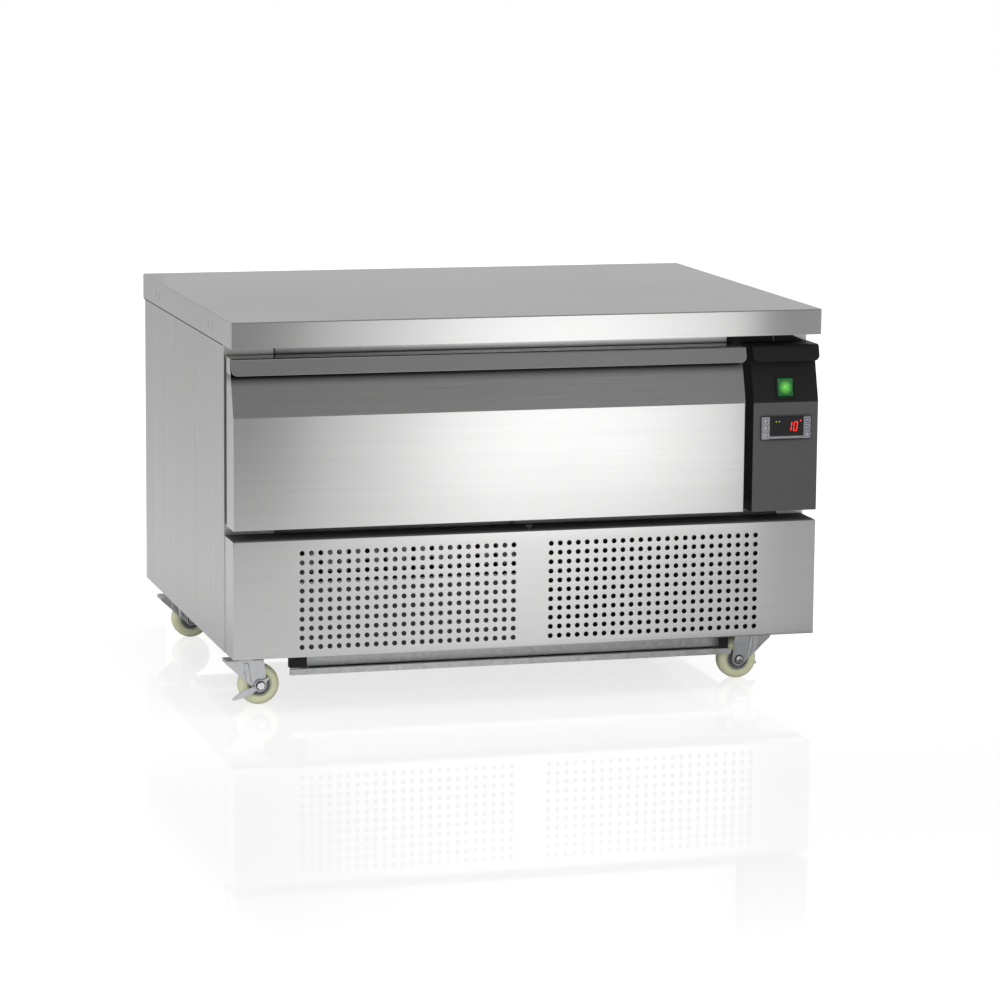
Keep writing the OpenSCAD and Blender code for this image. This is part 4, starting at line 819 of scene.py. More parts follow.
# Base gap shade: painted shade, a dark grey strip with a fine grain along the surround's top flange,
# behind the base panel's upper edge, which darkens the gap under the drawer.
gap_shade_finish = grained("painted_gap_shade", (0.07, 0.07, 0.071), 0.0, 0.8, 700.0, 0.0003, 0.6)
gap_shade_inset, gap_shade_back = 2, -281
gap_shade_low = (base_low[0] + gap_shade_inset, base_low[1] + 2.5, base_high[2] - 0.3)
gap_shade_shape = block(gap_shade_low, (base_high[0] - gap_shade_inset, gap_shade_back, base_high[2] + 0.9))
piece("base_gap_shade", gap_shade_shape, gap_shade_finish)

# Thumbscrew: a dark knob with lobes on a shank, screwed through the surround's top flange to hold the
# base panel.
thumb_dark = plain_finish("thumb_dark", (0.045, 0.045, 0.05), 0.4, 0.4)
thumb_low, thumb_high = box("thumbscrew")
thumb_centre = ((thumb_low + thumb_high) / 2)[:2]
knob_top, knob_base = thumb_high[2], thumb_high[2] - 8
knob_radius, knob_relief, knob_lobes = 5.7, 0.3, 12


def lobed(radius, relief, count):
    """The outline of a grip with that many lobes, about its middle."""
    angle = np.linspace(0, 2 * math.pi, 96, endpoint=False)
    return np.stack([np.cos(angle), np.sin(angle)], 1) * (radius + relief * np.cos(count * angle))[:, None]


knob_profile = ((0.62, knob_base), (0.5, knob_base + 1), (0.5, knob_base + 3.4), (0.9, knob_base + 4.2),
                (1, knob_base + 4.8), (1, knob_top - 0.8), (0.88, knob_top), (0.4, knob_top - 0.3))
knob_outline = lobed(knob_radius, knob_relief, knob_lobes)
knob = skin([raised(thumb_centre + knob_outline * share, z, "Z") for share, z in knob_profile])
shank = turned([(2, thumb_low[2]), (2, knob_base + 1)], thumb_centre, "Z", 24)
stand_in("thumbscrew", joined(knob, shank), thumb_dark)

# Filter mats: two behind the base panel, the left one in a zinc-plated holder, and a black one inside
# the rear grille. They keep light out of the machine room.
filter_grey = plain_finish("filter_grey", (0.13, 0.13, 0.132), 0.0, 0.8)
filter_and_shade_black = plain_finish("filter_and_shade_black", (0.006, 0.006, 0.006), 0.0, 0.9)
filter_front, filter_thick, filter_low, filter_top = base_high[1] + 8, 2.5, 86, 186
filter_left, filter_right = -356, -10
filters = (("air_filter_left", filter_grey, filter_left, filter_right, filter_top),
           ("air_filter_right", filter_and_shade_black, 16, 364, 248))
for name, finish, left, right, top in filters:
    shape = block((left, filter_front, filter_low), (right, filter_front + filter_thick, top))
    piece(name, shape, finish, 0.6)
pale_zinc = galvanised("pale_galvanised", (0.78, 0.785, 0.79), 0.55, 0.1)
holder_front, holder_back, holder_top = filter_front - 0.8, filter_front + 8, filter_top + 4.4
holder_lip = block((filter_left, holder_front, filter_top), (filter_right, filter_front, holder_top))
holder_floor = block((filter_left, holder_front, filter_top - 1), (filter_right, holder_back, filter_top))
piece("air_filter_holder", joined(holder_lip, holder_floor), pale_zinc)
mat_and_shade_black = grained("filter_mat_and_shade", (0.02, 0.02, 0.021), 0.0, 0.9, 500.0, 0.0006, 0.8)
mat_half, mat_low, mat_high, mat_depth = 352, 100, 232, 6
grille_front, grille_back = (corner[1] for corner in box("rear_grille"))
mat_shape = block((-mat_half, grille_front - mat_depth, mat_low), (mat_half, grille_front - 0.5, mat_high))
piece("rear_filter_mat", mat_shape, mat_and_shade_black, 1.5)

# Tray end shade: painted shade, black blocks behind the base frame's apron, one at each end, which
# darken the gaps there.
apron_left, apron_right, apron_back = -319, 321, -276
left_end_shade = block((apron_left - 26, apron_back, 53), (apron_left - 0.3, apron_back + 14, base_low[2]))
right_end_shade = block((apron_right - 5, apron_back - 1, 52.3), (apron_right + 9, apron_back + 4, 80))
piece("tray_end_shade", joined(left_end_shade, right_end_shade), mat_and_shade_black, 1)

# Air baffle, condenser shroud, compressor and fan motors: aluminium and zinc-plated sheet, a domed shell
# in black enamel on rubber mounts, and grey painted cans on brackets, all screwed to their supports.
aluminium = plain_finish("aluminium", (0.62, 0.63, 0.65), 1.0, 0.35)
compressor_black = grained("compressor_enamel", (0.014, 0.014, 0.015), 0.0, 0.25, 160.0, 0.0001, 0.2)
motor_grey = plain_finish("motor_paint", (0.16, 0.165, 0.17), 0.3, 0.5)
for node, finish, bevel in (("air_baffle", aluminium, 0.2), ("condenser_shroud", pale_zinc, 0.25),
                            ("compressor", compressor_black, 0.6),
                            ("evaporator_fan_motor", motor_grey, 0.4),
                            ("condenser_fan_motor", motor_grey, 0.4)):
    softened(node, finish, bevel)

# Shroud slot shade: painted shade, thin black blocks on the shroud plate's front, where its slots and
# the gap below them show dark through the left air holes.
shroud_low, shroud_high = box("condenser_shroud")
slot_pitch, slot_width, slot_low, slot_high, gap_low = 24, 10, 190.5, 206, 182.5
slot_back = shroud_low[1]
slot_front = slot_back - 0.3
slot_shapes = [block((shroud_low[0], slot_front, gap_low), (shroud_high[0], slot_back, slot_low))]
for x in np.arange(shroud_low[0] + 12, shroud_high[0] - 22, slot_pitch):
    slot_shapes.append(block((x, slot_front, slot_low - 1), (x + slot_width, slot_back, slot_high)))
piece("shroud_slot_shade", joined(*slot_shapes), filter_and_shade_black)

# Condenser and evaporator: stacks of thin fins pressed on rows of tubes that turn back at one end. The
# condenser is painted grey, the evaporator is bare aluminium and stands on two feet.
condenser_grey = plain_finish("condenser_fins", (0.30, 0.31, 0.32), 0.4, 0.5)


def tube(path, radius, sides=16):
    """A round tube along points, its rings carried on without twist from each point to the next."""
    path = np.array(path, float)
    ahead = np.gradient(path, axis=0)
    ahead /= np.linalg.norm(ahead, axis=1)[:, None]
    across = np.cross(ahead[0], (0.31, 0.52, 0.79))
    angle = np.linspace(0, 2 * math.pi, sides, endpoint=False)[:, None]
    made = []
    for point, way in zip(path, ahead):
        across = across - way * (across @ way)
        across /= np.linalg.norm(across)
        up = np.cross(way, across)
        made.append(point + radius * (np.cos(angle) * across + np.sin(angle) * up))
    return skin(made)


def fins(low, high, axis, pitch, thickness):
    """A stack of thin sheets square to the axis, between two corners, with a thicker one at each end."""
    k = "XYZ".index(axis)
    sheets = [(start, thickness) for start in np.arange(low[k] + 1, high[k] - 1, pitch)]
    made = []
    for start, thick in [*sheets, (low[k], 1), (high[k] - 1, 1)]:
        a, b = np.array(low, float), np.array(high, float)
        a[k], b[k] = start, start + thick
        made.append(block(a, b))
    return joined(*made)


coil_low, coil_high = box("condenser_coil")
coil_tube, coil_bend, coil_foot, coil_pitch, coil_rows, coil_shares = 2.5, 10, 22, 32, 4, (0.3, 0.7)
coil_fin_pitch, coil_fin = 3, 0.3
coil_end = coil_high[0] - coil_bend - coil_tube
coil_shapes = [fins(coil_low, (coil_end, *coil_high[1:]), "X", coil_fin_pitch, coil_fin)]
for k in range(coil_rows):
    for share in coil_shares:
        y, z = coil_low[1] + share * (coil_high[1] - coil_low[1]), coil_low[2] + coil_foot + coil_pitch * k
        around = [(coil_end + x, y, z + up) for x, up in arc((0, 0), coil_bend, -90, 90, 12)]
        path = [(coil_low[0], y, z - coil_bend), *around, (coil_low[0], y, z + coil_bend)]
        coil_shapes.append(tube(path, coil_tube, 10))
stand_in("condenser_coil", joined(*coil_shapes), condenser_grey)
cold_low, cold_high = box("evaporator_coil")
cold_tube, cold_bend, cold_foot, cold_lift, cold_pitch, cold_rows = 4, 10, 10, 14, 34, 4
cold_shares = (0.25, 0.75)
cold_fin_pitch, cold_fin = 4, 0.4
cold_start = cold_low[1] + cold_bend + cold_tube
cold_block = (cold_low[0], cold_start, cold_low[2] + cold_lift)
cold_shapes = [fins(cold_block, cold_high, "Y", cold_fin_pitch, cold_fin)]
for y in (cold_start + 2 * cold_foot, cold_high[1] - 3 * cold_foot):
    cold_shapes.append(block((cold_low[0], y, cold_low[2]), (cold_high[0], y + cold_foot, cold_block[2] + 1)))
for share in cold_shares:
    for k in range(cold_rows):
        x = cold_low[0] + share * (cold_high[0] - cold_low[0])
        z = (cold_block[2] + cold_high[2]) / 2 + (k - (cold_rows - 1) / 2) * cold_pitch
        around = [(x, cold_start - away, z + up) for away, up in arc((0, 0), cold_bend, -90, 90, 12)]
        path = [(x, cold_high[1], z - cold_bend), *around, (x, cold_high[1], z + cold_bend)]
        cold_shapes.append(tube(path, cold_tube, 12))
stand_in("evaporator_coil", joined(*cold_shapes), aluminium)

# Fan blades: rotors moulded in one from dark plastic, each a hub with five twisted blades, pressed on
# its motor's shaft.
fan_plastic = plain_finish("fan_plastic", (0.02, 0.02, 0.021), 0.0, 0.4)
blade_count, blade_stations, hub_share, blade_half, bore_radius = 5, 9, 0.3, 0.7, 3.1


def rotor(node):
    """A rotor along +Y: a hub with a bore, and blades whose pitch eases from hub to tip."""
    low, high = box(node)
    middle = (low + high) / 2
    tip = (high[2] - low[2]) / 2 - 0.5
    hub = tip * hub_share
    hub_profile = [(bore_radius, low[1]), (hub - 1, low[1]), (hub, low[1] + 1), (hub, high[1]),
                   (bore_radius, high[1])]
    shapes = [turned(hub_profile, middle[[0, 2]], "Y", 40, around=True)]
    across = np.linspace(-0.5, 0.5, 9)
    for k in range(blade_count):
        rows = []
        for share in np.linspace(0, 1, blade_stations):
            radius = hub * 0.9 + share * (tip - hub * 0.9)
            pitch = math.radians(40 - 16 * share)
            chord = min(tip * (0.62 + 0.2 * share), (high[1] - low[1] - 3) / math.sin(pitch))
            camber = 0.08 * chord * (1 - 4 * across ** 2)
            round_hub = across * chord * math.cos(pitch) / radius + 2 * math.pi * k / blade_count
            along = across * chord * math.sin(pitch) + camber * math.cos(pitch)
            angle = np.concatenate([round_hub, round_hub[::-1]])
            y = np.concatenate([along - blade_half, along[::-1] + blade_half]) + middle[1]
            y = np.clip(y, low[1] + 0.3, high[1] - 0.3)
            x, z = middle[0] + radius * np.cos(angle), middle[2] + radius * np.sin(angle)
            rows.append(np.stack([x, y, z], 1))
        shapes.append(skin(rows))
    stand_in(node, joined(*shapes), fan_plastic)


rotor("evaporator_fan_blade")
rotor("condenser_fan_blade")

# Refrigerant pipes: copper tubes with round bends and a fatter filter drier, brazed to the compressor
# and both coils.
copper_colour = (0.72, 0.32, 0.17)
copper = plain_finish("copper", copper_colour, 1.0, 0.25)
tint(copper, noise_in(copper, 60.0), shaded(copper_colour, 0.55), copper_colour)


def bent(points, radius, steps=8):
    """A path through the points, with an arc of that radius in each corner that is a right angle."""
    points = np.array(points, float)
    path = [points[0]]
    for before, corner, after in zip(points, points[1:], points[2:]):
        back, on = before - corner, after - corner
        reach = min(radius, np.linalg.norm(back) * 0.45, np.linalg.norm(on) * 0.45)
        back, on = back / np.linalg.norm(back), on / np.linalg.norm(on)
        centre = corner + (back + on) * reach
        for a in np.linspace(0, math.pi / 2, steps + 1):
            path.append(centre - on * reach * math.cos(a) - back * reach * math.sin(a))
    path.append(points[-1])
    return path


pipe, capillary, pipe_bend = 4, 1.5, 14
suction_x, suction_y = 185, 60
outlet_x, outlet_y = 140, 20
shell_top, under_floor = 206.5, 244
cold_x, cold_y, cold_z = 361, 268, 344
middle_y = coil_low[1] + (coil_high[1] - coil_low[1]) / 2
feed_x, feed_z, drain_z = coil_end + 27.7, coil_high[2] - 6, coil_low[2] + 6
drier_x, drier_z, drier_length = coil_end + 51.7, drain_z + 15, 80
suction = [(suction_x, suction_y, shell_top), (suction_x, suction_y, under_floor),
           (cold_x, suction_y, under_floor), (cold_x, cold_y, under_floor), (cold_x, cold_y, cold_z),
           (cold_x, cold_y - 10, cold_z)]
outlet = [(outlet_x, outlet_y, shell_top), (outlet_x, outlet_y, shell_top + 12),
          (feed_x, outlet_y, shell_top + 12), (feed_x, outlet_y, feed_z), (feed_x, middle_y, feed_z),
          (coil_end, middle_y, feed_z)]
drain = [(coil_end, middle_y, drain_z), (drier_x, middle_y, drain_z), (drier_x, middle_y, drain_z + 20)]
thin = [(drier_x, middle_y, drier_z + drier_length - 1), (drier_x, middle_y, under_floor),
        (drier_x, suction_y, under_floor), (suction_x, suction_y, under_floor)]
drier_profile = [(4.4, 0), (5, 3), (9, 11), (10, 15), (10, 65), (9, 69), (3, 77), (1.8, 80)]
drier = turned([(r, drier_z + d) for r, d in drier_profile], (drier_x, middle_y), "Z", 28)
pipes = [tube(bent(path, pipe_bend), pipe) for path in (suction, outlet, drain)]
pipes += [tube(bent(thin, pipe_bend), capillary, 10), drier]
stand_in("refrigerant_pipes", joined(*pipes), copper)

# Evaporation pan: a basin moulded in grey plastic, laid on the base tray, which catches the defrost
# water so that it dries up.
pan_grey = plain_finish("pan_plastic", (0.12, 0.12, 0.125), 0.0, 0.45)
basin_low, basin_high = box("evaporation_pan")
basin_wall, basin_corner, basin_floor = 1.5, 12, basin_low[2]
basin_section = [(5, basin_floor), (1.5, basin_floor + 3), (0, basin_high[2]), (basin_wall, basin_high[2]),
                 (basin_wall + 1.5, basin_floor + 4), (6, basin_floor + basin_wall)]
stand_in("evaporation_pan", shell(basin_low, basin_high, basin_corner, basin_section, "Z"), pan_grey)

# Cable gland: black nylon, a ribbed cap and a six-sided nut on a threaded body that goes through the
# rear grille's sheet.
gland_black = plain_finish("gland_nylon", (0.016, 0.016, 0.017), 0.0, 0.4)
gland_low, gland_high = box("cable_gland")
gland_middle = ((gland_low + gland_high) / 2)[[0, 2]]
gland_radius, gland_bore, gland_relief, gland_ribs, nut_height, grille_sheet = 10, 4, 0.35, 16, 4, 1
nut_end = grille_back - grille_sheet
nut_start = nut_end - nut_height
thread = [(6.6 if k % 2 else 7, y) for k, y in enumerate(np.arange(gland_low[1], nut_start, 0.5))]
body_profile = [(gland_bore, gland_low[1]), *thread, (6.8, grille_back), (gland_bore, grille_back)]
body_shape = turned(body_profile, gland_middle, "Y", 32, around=True)
nut_profile = [(7, nut_start), (gland_radius - 0.6, nut_start), (gland_radius, nut_start + 0.6),
               (gland_radius, nut_end), (7, nut_end)]
nut_shape = turned(nut_profile, gland_middle, "Y", 6, around=True)
bore, cap = lobed(gland_bore, 0, gland_ribs), lobed(gland_radius - gland_relief, gland_relief, gland_ribs)
cap_rings = ((bore, grille_back), (cap, grille_back), (cap, gland_high[1] - 1.2), (cap * 0.8, gland_high[1]),
             (bore, gland_high[1]))
cap_shape = skin([raised(gland_middle + ring, y, "Y") for ring, y in cap_rings], around=True)
stand_in("cable_gland", joined(body_shape, nut_shape, cap_shape), gland_black)

# Castors: pressed zinc-plated forks on a ball race, bolted plates, cream nylon wheels on a grey hub, and
# a folded brake pedal at the outer side of each front one. A fork's shapes are about its swivel axis.
zinc_bright = (0.70, 0.71, 0.72)
castor_zinc = grained("zinc_plate", zinc_bright, 0.75, 0.34, 500.0, 0.00006, 0.3)
blotches = noise_in(castor_zinc, 70.0, 4.0)
tint(castor_zinc, blotches, shaded(zinc_bright, 0.72), shaded(zinc_bright, 1.12))
into(castor_zinc, "Roughness", remap(castor_zinc, blotches, 0.26, 0.42))
bolt_zinc = plain_finish("bolt_zinc", (0.80, 0.80, 0.80), 1.0, 0.14)
bolt_shadow_dark = plain_finish("bolt_shadow", (0.04, 0.04, 0.045), 0.3, 0.5)
nylon_colour = (0.87, 0.88, 0.60)
nylon = plain_finish("cream_nylon", nylon_colour, 0.0, 0.3, Subsurface_Weight=0.15, Subsurface_Scale=0.004)
tint(nylon, noise_in(nylon, 40.0), shaded(nylon_colour, 0.93), shaded(nylon_colour, 1.05))
hub_grey = plain_finish("hub_grey", (0.17, 0.175, 0.19), 0.3, 0.45)
ring_pale = plain_finish("ring_pale", (0.47, 0.48, 0.42), 0.0, 0.35)
castor_top = box("castor_plates")[1][2]
axle_z, crown_z, trail, boss = 30, 65, 20, 10
fork_sheet, arm_inside, crown_reach, rib_half = 2.5, 13.5, 30, 4.0
fork_outside, crown_top = arm_inside + fork_sheet, crown_z + fork_sheet
pedal_room, free_room = 2.6, 0.05
plate_half, plate_sheet, plate_corner = 30, 3, 6
places = {"front_left": (-409, -259, 0), "front_right": (373, -245, 180),
          "rear_left": (-409, 250, 0), "rear_right": (373, 250, 180)}


def moved(shape, offset, rotation):
    """The shape turned about the origin and then moved by the offset."""
    return shape[0] @ rotation.T + np.array(offset), shape[1]


def on_axle(profile, sides=48, start=0.0, around=False):
    """A profile turned about the axle of a castor whose swivel axis is at the origin."""
    return turned(profile, (trail, axle_z), "Y", sides, start, around)


def arm(side):
    """One arm of a fork: a sheet with a long pressed fold, as an outline for each place along x. It has
    a boss round the axle, a slanted edge up to the crown behind it and a short slant in front."""
    places_x = (-30, -24, -18, -13.5, -12, -10.5, -5, -3.5, -2, 3, 8,
                11, 13, 15, 18, 20, 22, 25, 26, 27.5, 29, 29.9)
    made = []
    for x in places_x:
        low, high = axle_z + 4, crown_top
        if abs(x - trail) <= boss:
            low = axle_z - math.sqrt(boss ** 2 - (x - trail) ** 2)
        if x < trail - 7:
            low = axle_z - 7 + (trail - 7 - x) * (crown_z - 2 - axle_z + 7) / (trail - 7 + crown_reach)
        if x > trail + 6:
            high = axle_z + 2 + (trail + boss - x) * (crown_top - axle_z - 2) / 4
        high = max(high, low + 1)
        fold = np.interp(x, (-13.5, -10.5, -5, -2), (0.9, 2.1, 2.1, 0)) * 0.6
        inside, outside = side * (arm_inside + fold), side * (arm_inside + fork_sheet * 0.45 + fold)
        made.append([(x, outside, low), (x, inside, low), (x, inside, high), (x, outside, high)])
    return skin(made)


def fork(reach):
    """A castor's fork about its swivel axis: arms, crown, race, axle and washers."""
    crown_outline = round_rect((-crown_reach, -fork_outside), (trail + 6, fork_outside), 4)
    crown = prism(crown_outline, "Z", crown_z, crown_top)
    race_profile = [(18, crown_z + 2.4), (18, crown_z + 3.6), (17, crown_z + 4.5), (6.2, crown_z + 4.5)]
    axle = on_axle([(4, -reach - 1), (4, fork_outside + 3)], 20)
    washers = [on_axle([(8.4, y), (8.4, y + 0.8)], 32) for y in (-reach - 0.6, fork_outside - 0.2)]
    return joined(arm(-1), arm(1), crown, turned(race_profile, (0, 0), "Z"), axle, *washers)


def bolt(reach):
    """A castor's axle bolt: its six-sided head at one side, a nut with a dome at the other."""
    end = fork_outside
    head = on_axle([(4.8, -reach - 4), (6.2, -reach - 3.4), (6.2, -reach - 0.5)], 6, 0.3)
    nut = on_axle([(6.2, end + 0.5), (6.2, end + 3), (5.2, end + 3.5)], 6, 0.1)
    return joined(head, nut, on_axle([(4.4, end + 3.2), (4, end + 4.4), (2.4, end + 5)], 24))


def bolt_shadow_rings(reach):
    """Painted shadow: the dark rings round the bolt's head and nut."""
    ends = ((-reach - 0.9, -reach - 0.5), (fork_outside + 0.5, fork_outside + 0.9))
    return joined(*[on_axle([(7.3, start), (7.3, end)], 32) for start, end in ends])


def ribs():
    """The half-round pressed rib of each fork arm, which leans with the arm."""
    start, bulge = arm_inside + fork_sheet * 0.5, (fork_sheet * 0.5 + 1.4) / rib_half
    ends = ((3.4, 36), (-0.8, crown_z - 2))
    made = []
    for side in (-1, 1):
        half = [(x, side * (start + y * bulge)) for x, y in arc((0, 0), rib_half, 0, 180, 10)]
        made.append(skin([raised(np.array(half) + (lean, 0), z, "Z") for lean, z in ends]))
    return joined(*made)


def pedal():
    """A brake pedal about its axle: a claw over the wheel, a lever and a tread of three folded facets."""
    outside = -fork_outside - 0.3
    claw = [(-9, 3), (-8, -6), (-3, -9), (4, -8), (7, -3), (8, 4), (14, 10.5), (12.5, 12), (5, 8.5), (-3, 9)]
    claw_shape = prism([(x + trail, z + axle_z) for x, z in claw], "Y", outside - 2, outside)
    facets = [(-5, -1, 7.5, 0), (-8, -4.5, 8, -1), (-16, -7, 11, -6.5), (-29, -9.5, 11, -11.5),
              (-44, -16, 4, -13.5)]
    made = []
    for x, middle, height, y in facets:
        x, back, front = trail + x, outside - 1.8 + y, outside - 0.2 + y
        low, high = axle_z + middle - height / 2, axle_z + middle + height / 2
        made.append([(x, back, low), (x, front, low), (x, front, high), (x, back, high)])
    return joined(claw_shape, skin(made))


tyre_side = [(30 - 8 + a, b) for a, b in arc((0, 4), 8, 0, 78, 7)]
tyre_side += [(19.2, 11.7), (18, 11.2), (17.4, 10.2), (17.2, 9)]
ring_side = [(17.3, 9.6), (17, 10.4), (15.9, 10.6), (15.3, 9.8), (15.2, 8.2)]
hub_side = [(15.4, 8.2), (11.2, 8.2), (10.4, 9), (10, 12), (4.1, 12)]
tyre_shape = on_axle([(r, -y) for r, y in tyre_side[::-1]] + [(30, 0)] + tyre_side, 72, around=True)
ring_shape, hub_shape = (on_axle(side + [(r, -y) for r, y in side[::-1]], 60, around=True)
                         for side in (ring_side, hub_side))
plate_shapes = []
for place, (x, y, degrees) in places.items():
    swivel = ((x, y, 0), turn(math.radians(degrees), "Z"))
    braked = place.startswith("front")
    reach = fork_outside + (pedal_room if braked else free_room)
    body, wheel_body = nodes["fork_" + place]["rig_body"], nodes["wheel_" + place]["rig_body"]
    stand_in("fork_" + place, moved(fork(reach), *swivel), castor_zinc, 0.3)
    piece(f"fork_{place}_bolt", moved(bolt(reach), *swivel), bolt_zinc, 0.3, body)
    piece(f"fork_{place}_ribs", moved(ribs(), *swivel), castor_zinc, body=body)
    piece(f"fork_{place}_rings", moved(bolt_shadow_rings(reach), *swivel), bolt_shadow_dark, body=body)
    stand_in("wheel_" + place, moved(tyre_shape, *swivel), nylon)
    piece(f"wheel_{place}_ring", moved(ring_shape, *swivel), ring_pale, body=wheel_body)
    piece(f"wheel_{place}_hub", moved(hub_shape, *swivel), hub_grey, body=wheel_body)
    if braked:
        stand_in("pedal_" + place.split("_")[1], moved(pedal(), *swivel), castor_zinc, 0.25)
    low, high = (x - plate_half, y - plate_half), (x + plate_half, y + plate_half)
    plate_section = [(0, castor_top - plate_sheet), (0, castor_top)]
    hat = [(20, castor_top - 12.2), (20, castor_top - 6), (17, castor_top - 3.5), (16, castor_top - 2)]
    kingpin = [(9, crown_z - 2.3), (9, crown_z - 0.3), (6, crown_z - 0.3), (6, castor_top - 9)]
    plate_shapes += [shell(low, high, plate_corner, plate_section, "Z"), turned(hat, (x, y), "Z"),
                     turned(kingpin, (x, y), "Z", 24)]
stand_in("castor_plates", joined(*plate_shapes), castor_zinc, 0.3)

# Studio: a white floor that mirrors a little close to the object and shows gloss a pattern of light of
# its own, in a white room. A light level is at most the brightest.
floor_half, floor_mirror = 9.0, 0.19
floor_white, floor_seen = (0.86, 0.86, 0.86), (0.28, 0.28, 0.28)
floor_light_front, floor_light_side, brightest = 0.81, 0.92, 2.0
floor_stops = ((-0.2, 0.83), (0.22, 1.02), (0.36, 0.84), (0.56, 0.68), (0.75, 0.58))
low_stops = ((-0.35, 0.85), (-0.1, 0.8), (0.15, 0.45), (0.35, 0.12))
pattern_left, pattern_right, pattern_front, pattern_turn, pattern_back = -0.5, 1.6, -2.3, -0.62, -0.28
mirror_front, mirror_left, mirror_back = (-2.5, -1.0), (-0.8, -0.6), (0.6, 1.2)
light_turn, far_squares, mirror_tint = (-0.9, -0.3), (1.5, 6.0), (0.95, 0.95, 0.95)


def bare_finish(name):
    """A material without nodes."""
    material = bpy.data.materials.new(name)
    material.use_nodes = True
    material.node_tree.nodes.clear()
    return material


def light_along(owner, x, stops):
    """A light level that follows stops along x."""
    first, last = stops[0][0], stops[-1][0]
    across = node_in(owner, "MapRange", {"Value": x, "From Min": first, "From Max": last})
    ramp = node_in(owner, "ValToRGB", {"Fac": across.outputs["Result"]})
    ramp.color_ramp.interpolation = "CARDINAL"
    marks = ramp.color_ramp.elements
    for stop in stops[1:-1]:
        marks.new((stop[0] - first) / (last - first))
    for mark, stop in zip(marks, stops):
        mark.color = (*((stop[1] / brightest,) * 3), 1.0)
    return math_of(owner, ramp.outputs["Color"], brightest)


def mixed(owner, share, first, second):
    """The second of two surfaces laid over the first by a share."""
    return node_in(owner, "MixShader", {"Fac": share, 1: first, 2: second}).outputs[0]


def flat_sheet(name, corners, finish, surface):
    """A flat sheet between four corners, whose finish shows that surface."""
    node_in(finish, "OutputMaterial", {"Surface": surface})
    mesh = bpy.data.meshes.new(name)
    mesh.from_pydata(corners, [], [(0, 1, 2, 3)])
    mesh.materials.append(finish)
    thing = bpy.data.objects.new(name, mesh)
    scene.collection.objects.link(thing)
    return thing


finish = bare_finish("studio_floor")
rays = node_in(finish, "LightPath").outputs
place = own_place(finish)
nearness = math_of(finish, eased(finish, place["Y"], *mirror_front, 0.0, floor_mirror),
                   eased(finish, place["X"], *mirror_left, 0.0, 1.0))
nearness = math_of(finish, nearness, eased(finish, place["Y"], *mirror_back, 1.0, 0.0))
ends = {"Factor": rays["Is Camera Ray"], "A": (*floor_white, 1.0), "B": (*floor_seen, 1.0)}
white = node_in(finish, "Mix", ends, data_type="RGBA").outputs["Result"]
matt = node_in(finish, "BsdfDiffuse", {"Color": white}).outputs[0]
mirror = node_in(finish, "BsdfAnisotropic", {"Color": (*mirror_tint, 1.0), "Roughness": 0.04}).outputs[0]
squares = [math_of(finish, place[axis], place[axis]) for axis in ("X", "Y")]
far_share = eased(finish, math_of(finish, *squares, "ADD"), *far_squares, 0.0, 1.0)
near_light = eased(finish, place["Y"], *light_turn, floor_light_front, floor_light_side)
missing = math_of(finish, math_of(finish, 1.0, near_light, "SUBTRACT"), far_share)
seen = math_of(finish, rays["Is Camera Ray"], math_of(finish, near_light, missing, "ADD"))
light = node_in(finish, "Emission", {"Strength": seen}).outputs[0]
surface = mixed(finish, nearness, node_in(finish, "AddShader", {0: matt, 1: light}).outputs[0], mirror)
for stops, front, back in ((floor_stops, pattern_front, pattern_turn),
                           (low_stops, pattern_turn, pattern_back)):
    lit_part = math_of(finish, within(finish, place["X"], pattern_left, pattern_right),
                       within(finish, place["Y"], front, back))
    lit_part = math_of(finish, lit_part, rays["Is Glossy Ray"])
    level = light_along(finish, place["X"], stops)
    surface = mixed(finish, lit_part, surface, node_in(finish, "Emission", {"Strength": level}).outputs[0])
h = floor_half
flat_sheet("studio_floor", [(-h, -h, 0), (h, -h, 0), (h, h, 0), (-h, h, 0)], finish, surface)

room = bpy.data.worlds.new("studio_room")
scene.world = room
room.use_nodes = True
rays = node_in(room, "LightPath").outputs
room_diffuse, room_gloss = 0.62, 0.56
strength = room_diffuse
for ray, level in (("Camera", 1.0), ("Glossy", room_gloss), ("Transmission", 1.0)):
    extra = math_of(room, rays[f"Is {ray} Ray"], level - room_diffuse)
    strength = math_of(room, strength, extra, "ADD")
background = room.node_tree.nodes["Background"]
background.inputs["Color"].default_value = (1, 1, 1, 1)
room.node_tree.links.new(strength, background.inputs["Strength"])

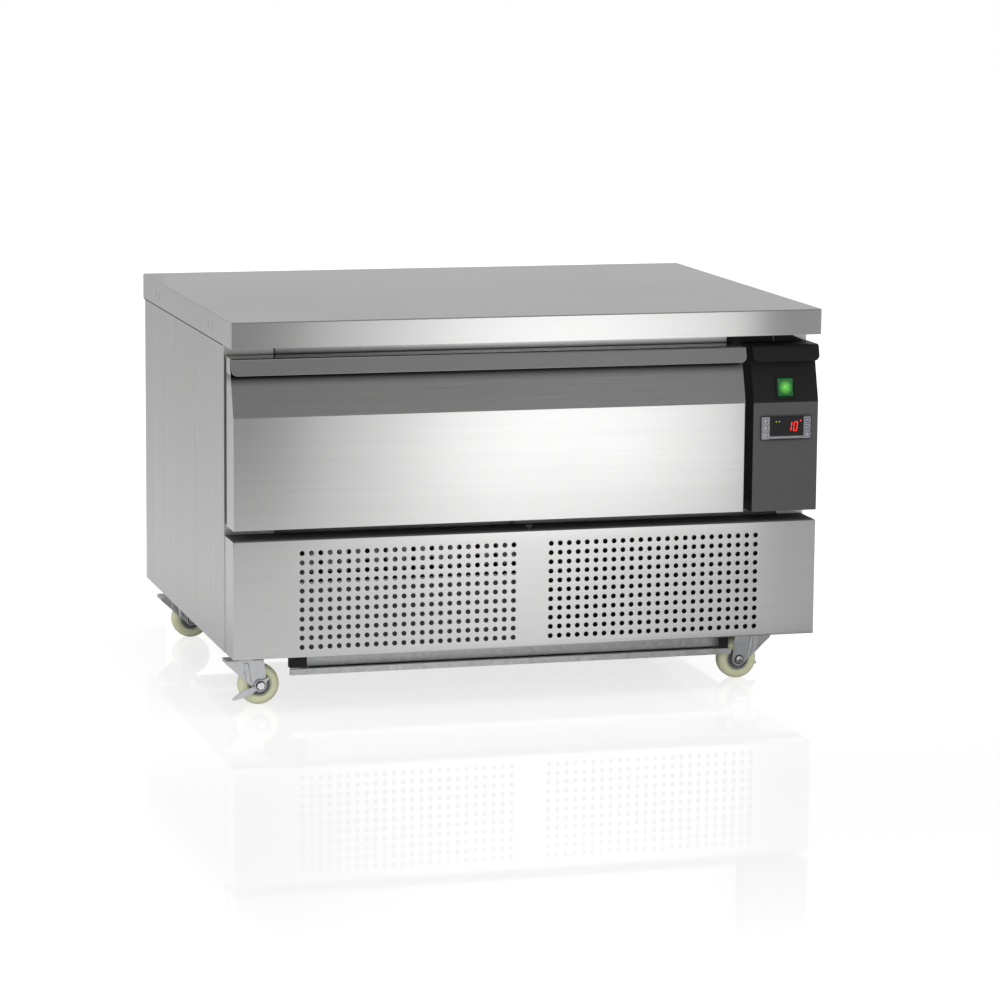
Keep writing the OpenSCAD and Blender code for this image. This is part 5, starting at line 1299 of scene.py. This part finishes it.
# Cards of light: the front one is dim at the left, bright in the middle and dim at the right, as far up
# as the sheet steel's flat faces see it, and dark above for the slopes. A plain one behind the object
# makes the floor's mirror image stand on white.
front_y, front_across, front_upwards = -1.54, (-1.6, 2.6), (0.065, 3.2)
front_stops = ((-0.20, 0.36), (-0.10, 0.48), (-0.03, 0.80), (0.04, 0.98), (0.14, 1.29), (0.26, 1.65),
               (0.40, 1.82), (0.54, 1.74), (0.70, 1.40), (0.76, 1.15), (0.79, 0.46), (0.84, 0.40),
               (0.92, 0.52))
front_falls = ((0.07, 0.2, 1.3, 1.0), (0.2, 0.42, 1.0, 0.93))
front_edge, front_dark = (0.56, 0.74), 0.26
back_y, back_across, back_upwards = 2.5, (0, 4), (0.003, 0.74)
back_stops = ((0, 1.0), (4, 1.0))


def light_card(name, y, across, upwards, stops, falls=(), edge=()):
    """A card that only gloss sees. Its light follows stops along x, and falls and turns dark with the
    height if asked."""
    (left, right), (low, high) = across, upwards
    finish = bare_finish(name)
    place = own_place(finish)
    level = light_along(finish, place["X"], stops)
    for fall in falls:
        level = math_of(finish, level, eased(finish, place["Z"], *fall))
    if edge:
        ends = {"Factor": eased(finish, place["Z"], *edge, 0.0, 1.0), "A": level, "B": front_dark}
        level = node_in(finish, "Mix", ends).outputs["Result"]
    light = node_in(finish, "Emission", {"Strength": level}).outputs[0]
    corners = [(left, y, low), (right, y, low), (right, y, high), (left, y, high)]
    card = flat_sheet(name, corners, finish, light)
    card.visible_camera = False
    card.visible_diffuse = False
    card.visible_transmission = False
    card.visible_shadow = False


light_card("studio_card", front_y, front_across, front_upwards, front_stops, front_falls, front_edge)
light_card("studio_back_card", back_y, back_across, back_upwards, back_stops)

# Lamps: three soft ones that gloss and the camera don't see, one of them by the lens, whose light goes
# in through the air holes.
lamps = (("front_lamp", (-1.4, -3.2, 1.9), (0, 0, 0.3), 1.6, 19),
         ("lens_lamp", (-1.4, -4.9, 1.12), (0, -0.3, 0.3), 0.5, 13),
         ("top_lamp", (0.4, -0.2, 3.0), (0, 0, 0.3), 2.6, 40))
for name, place, aim, size, watts in lamps:
    data = bpy.data.lights.new(name, "AREA")
    data.shape = "RECTANGLE"
    data.size = data.size_y = size
    data.energy = watts
    thing = bpy.data.objects.new(name, data)
    way = Matrix.Translation(aim).translation - Matrix.Translation(place).translation
    thing.matrix_world = Matrix.Translation(place) @ way.to_track_quat("-Z", "Y").to_matrix().to_4x4()
    scene.collection.objects.link(thing)
    thing.visible_camera = False
    thing.visible_glossy = False


# Output: the standard view transform.
scene.view_settings.view_transform = "Standard"
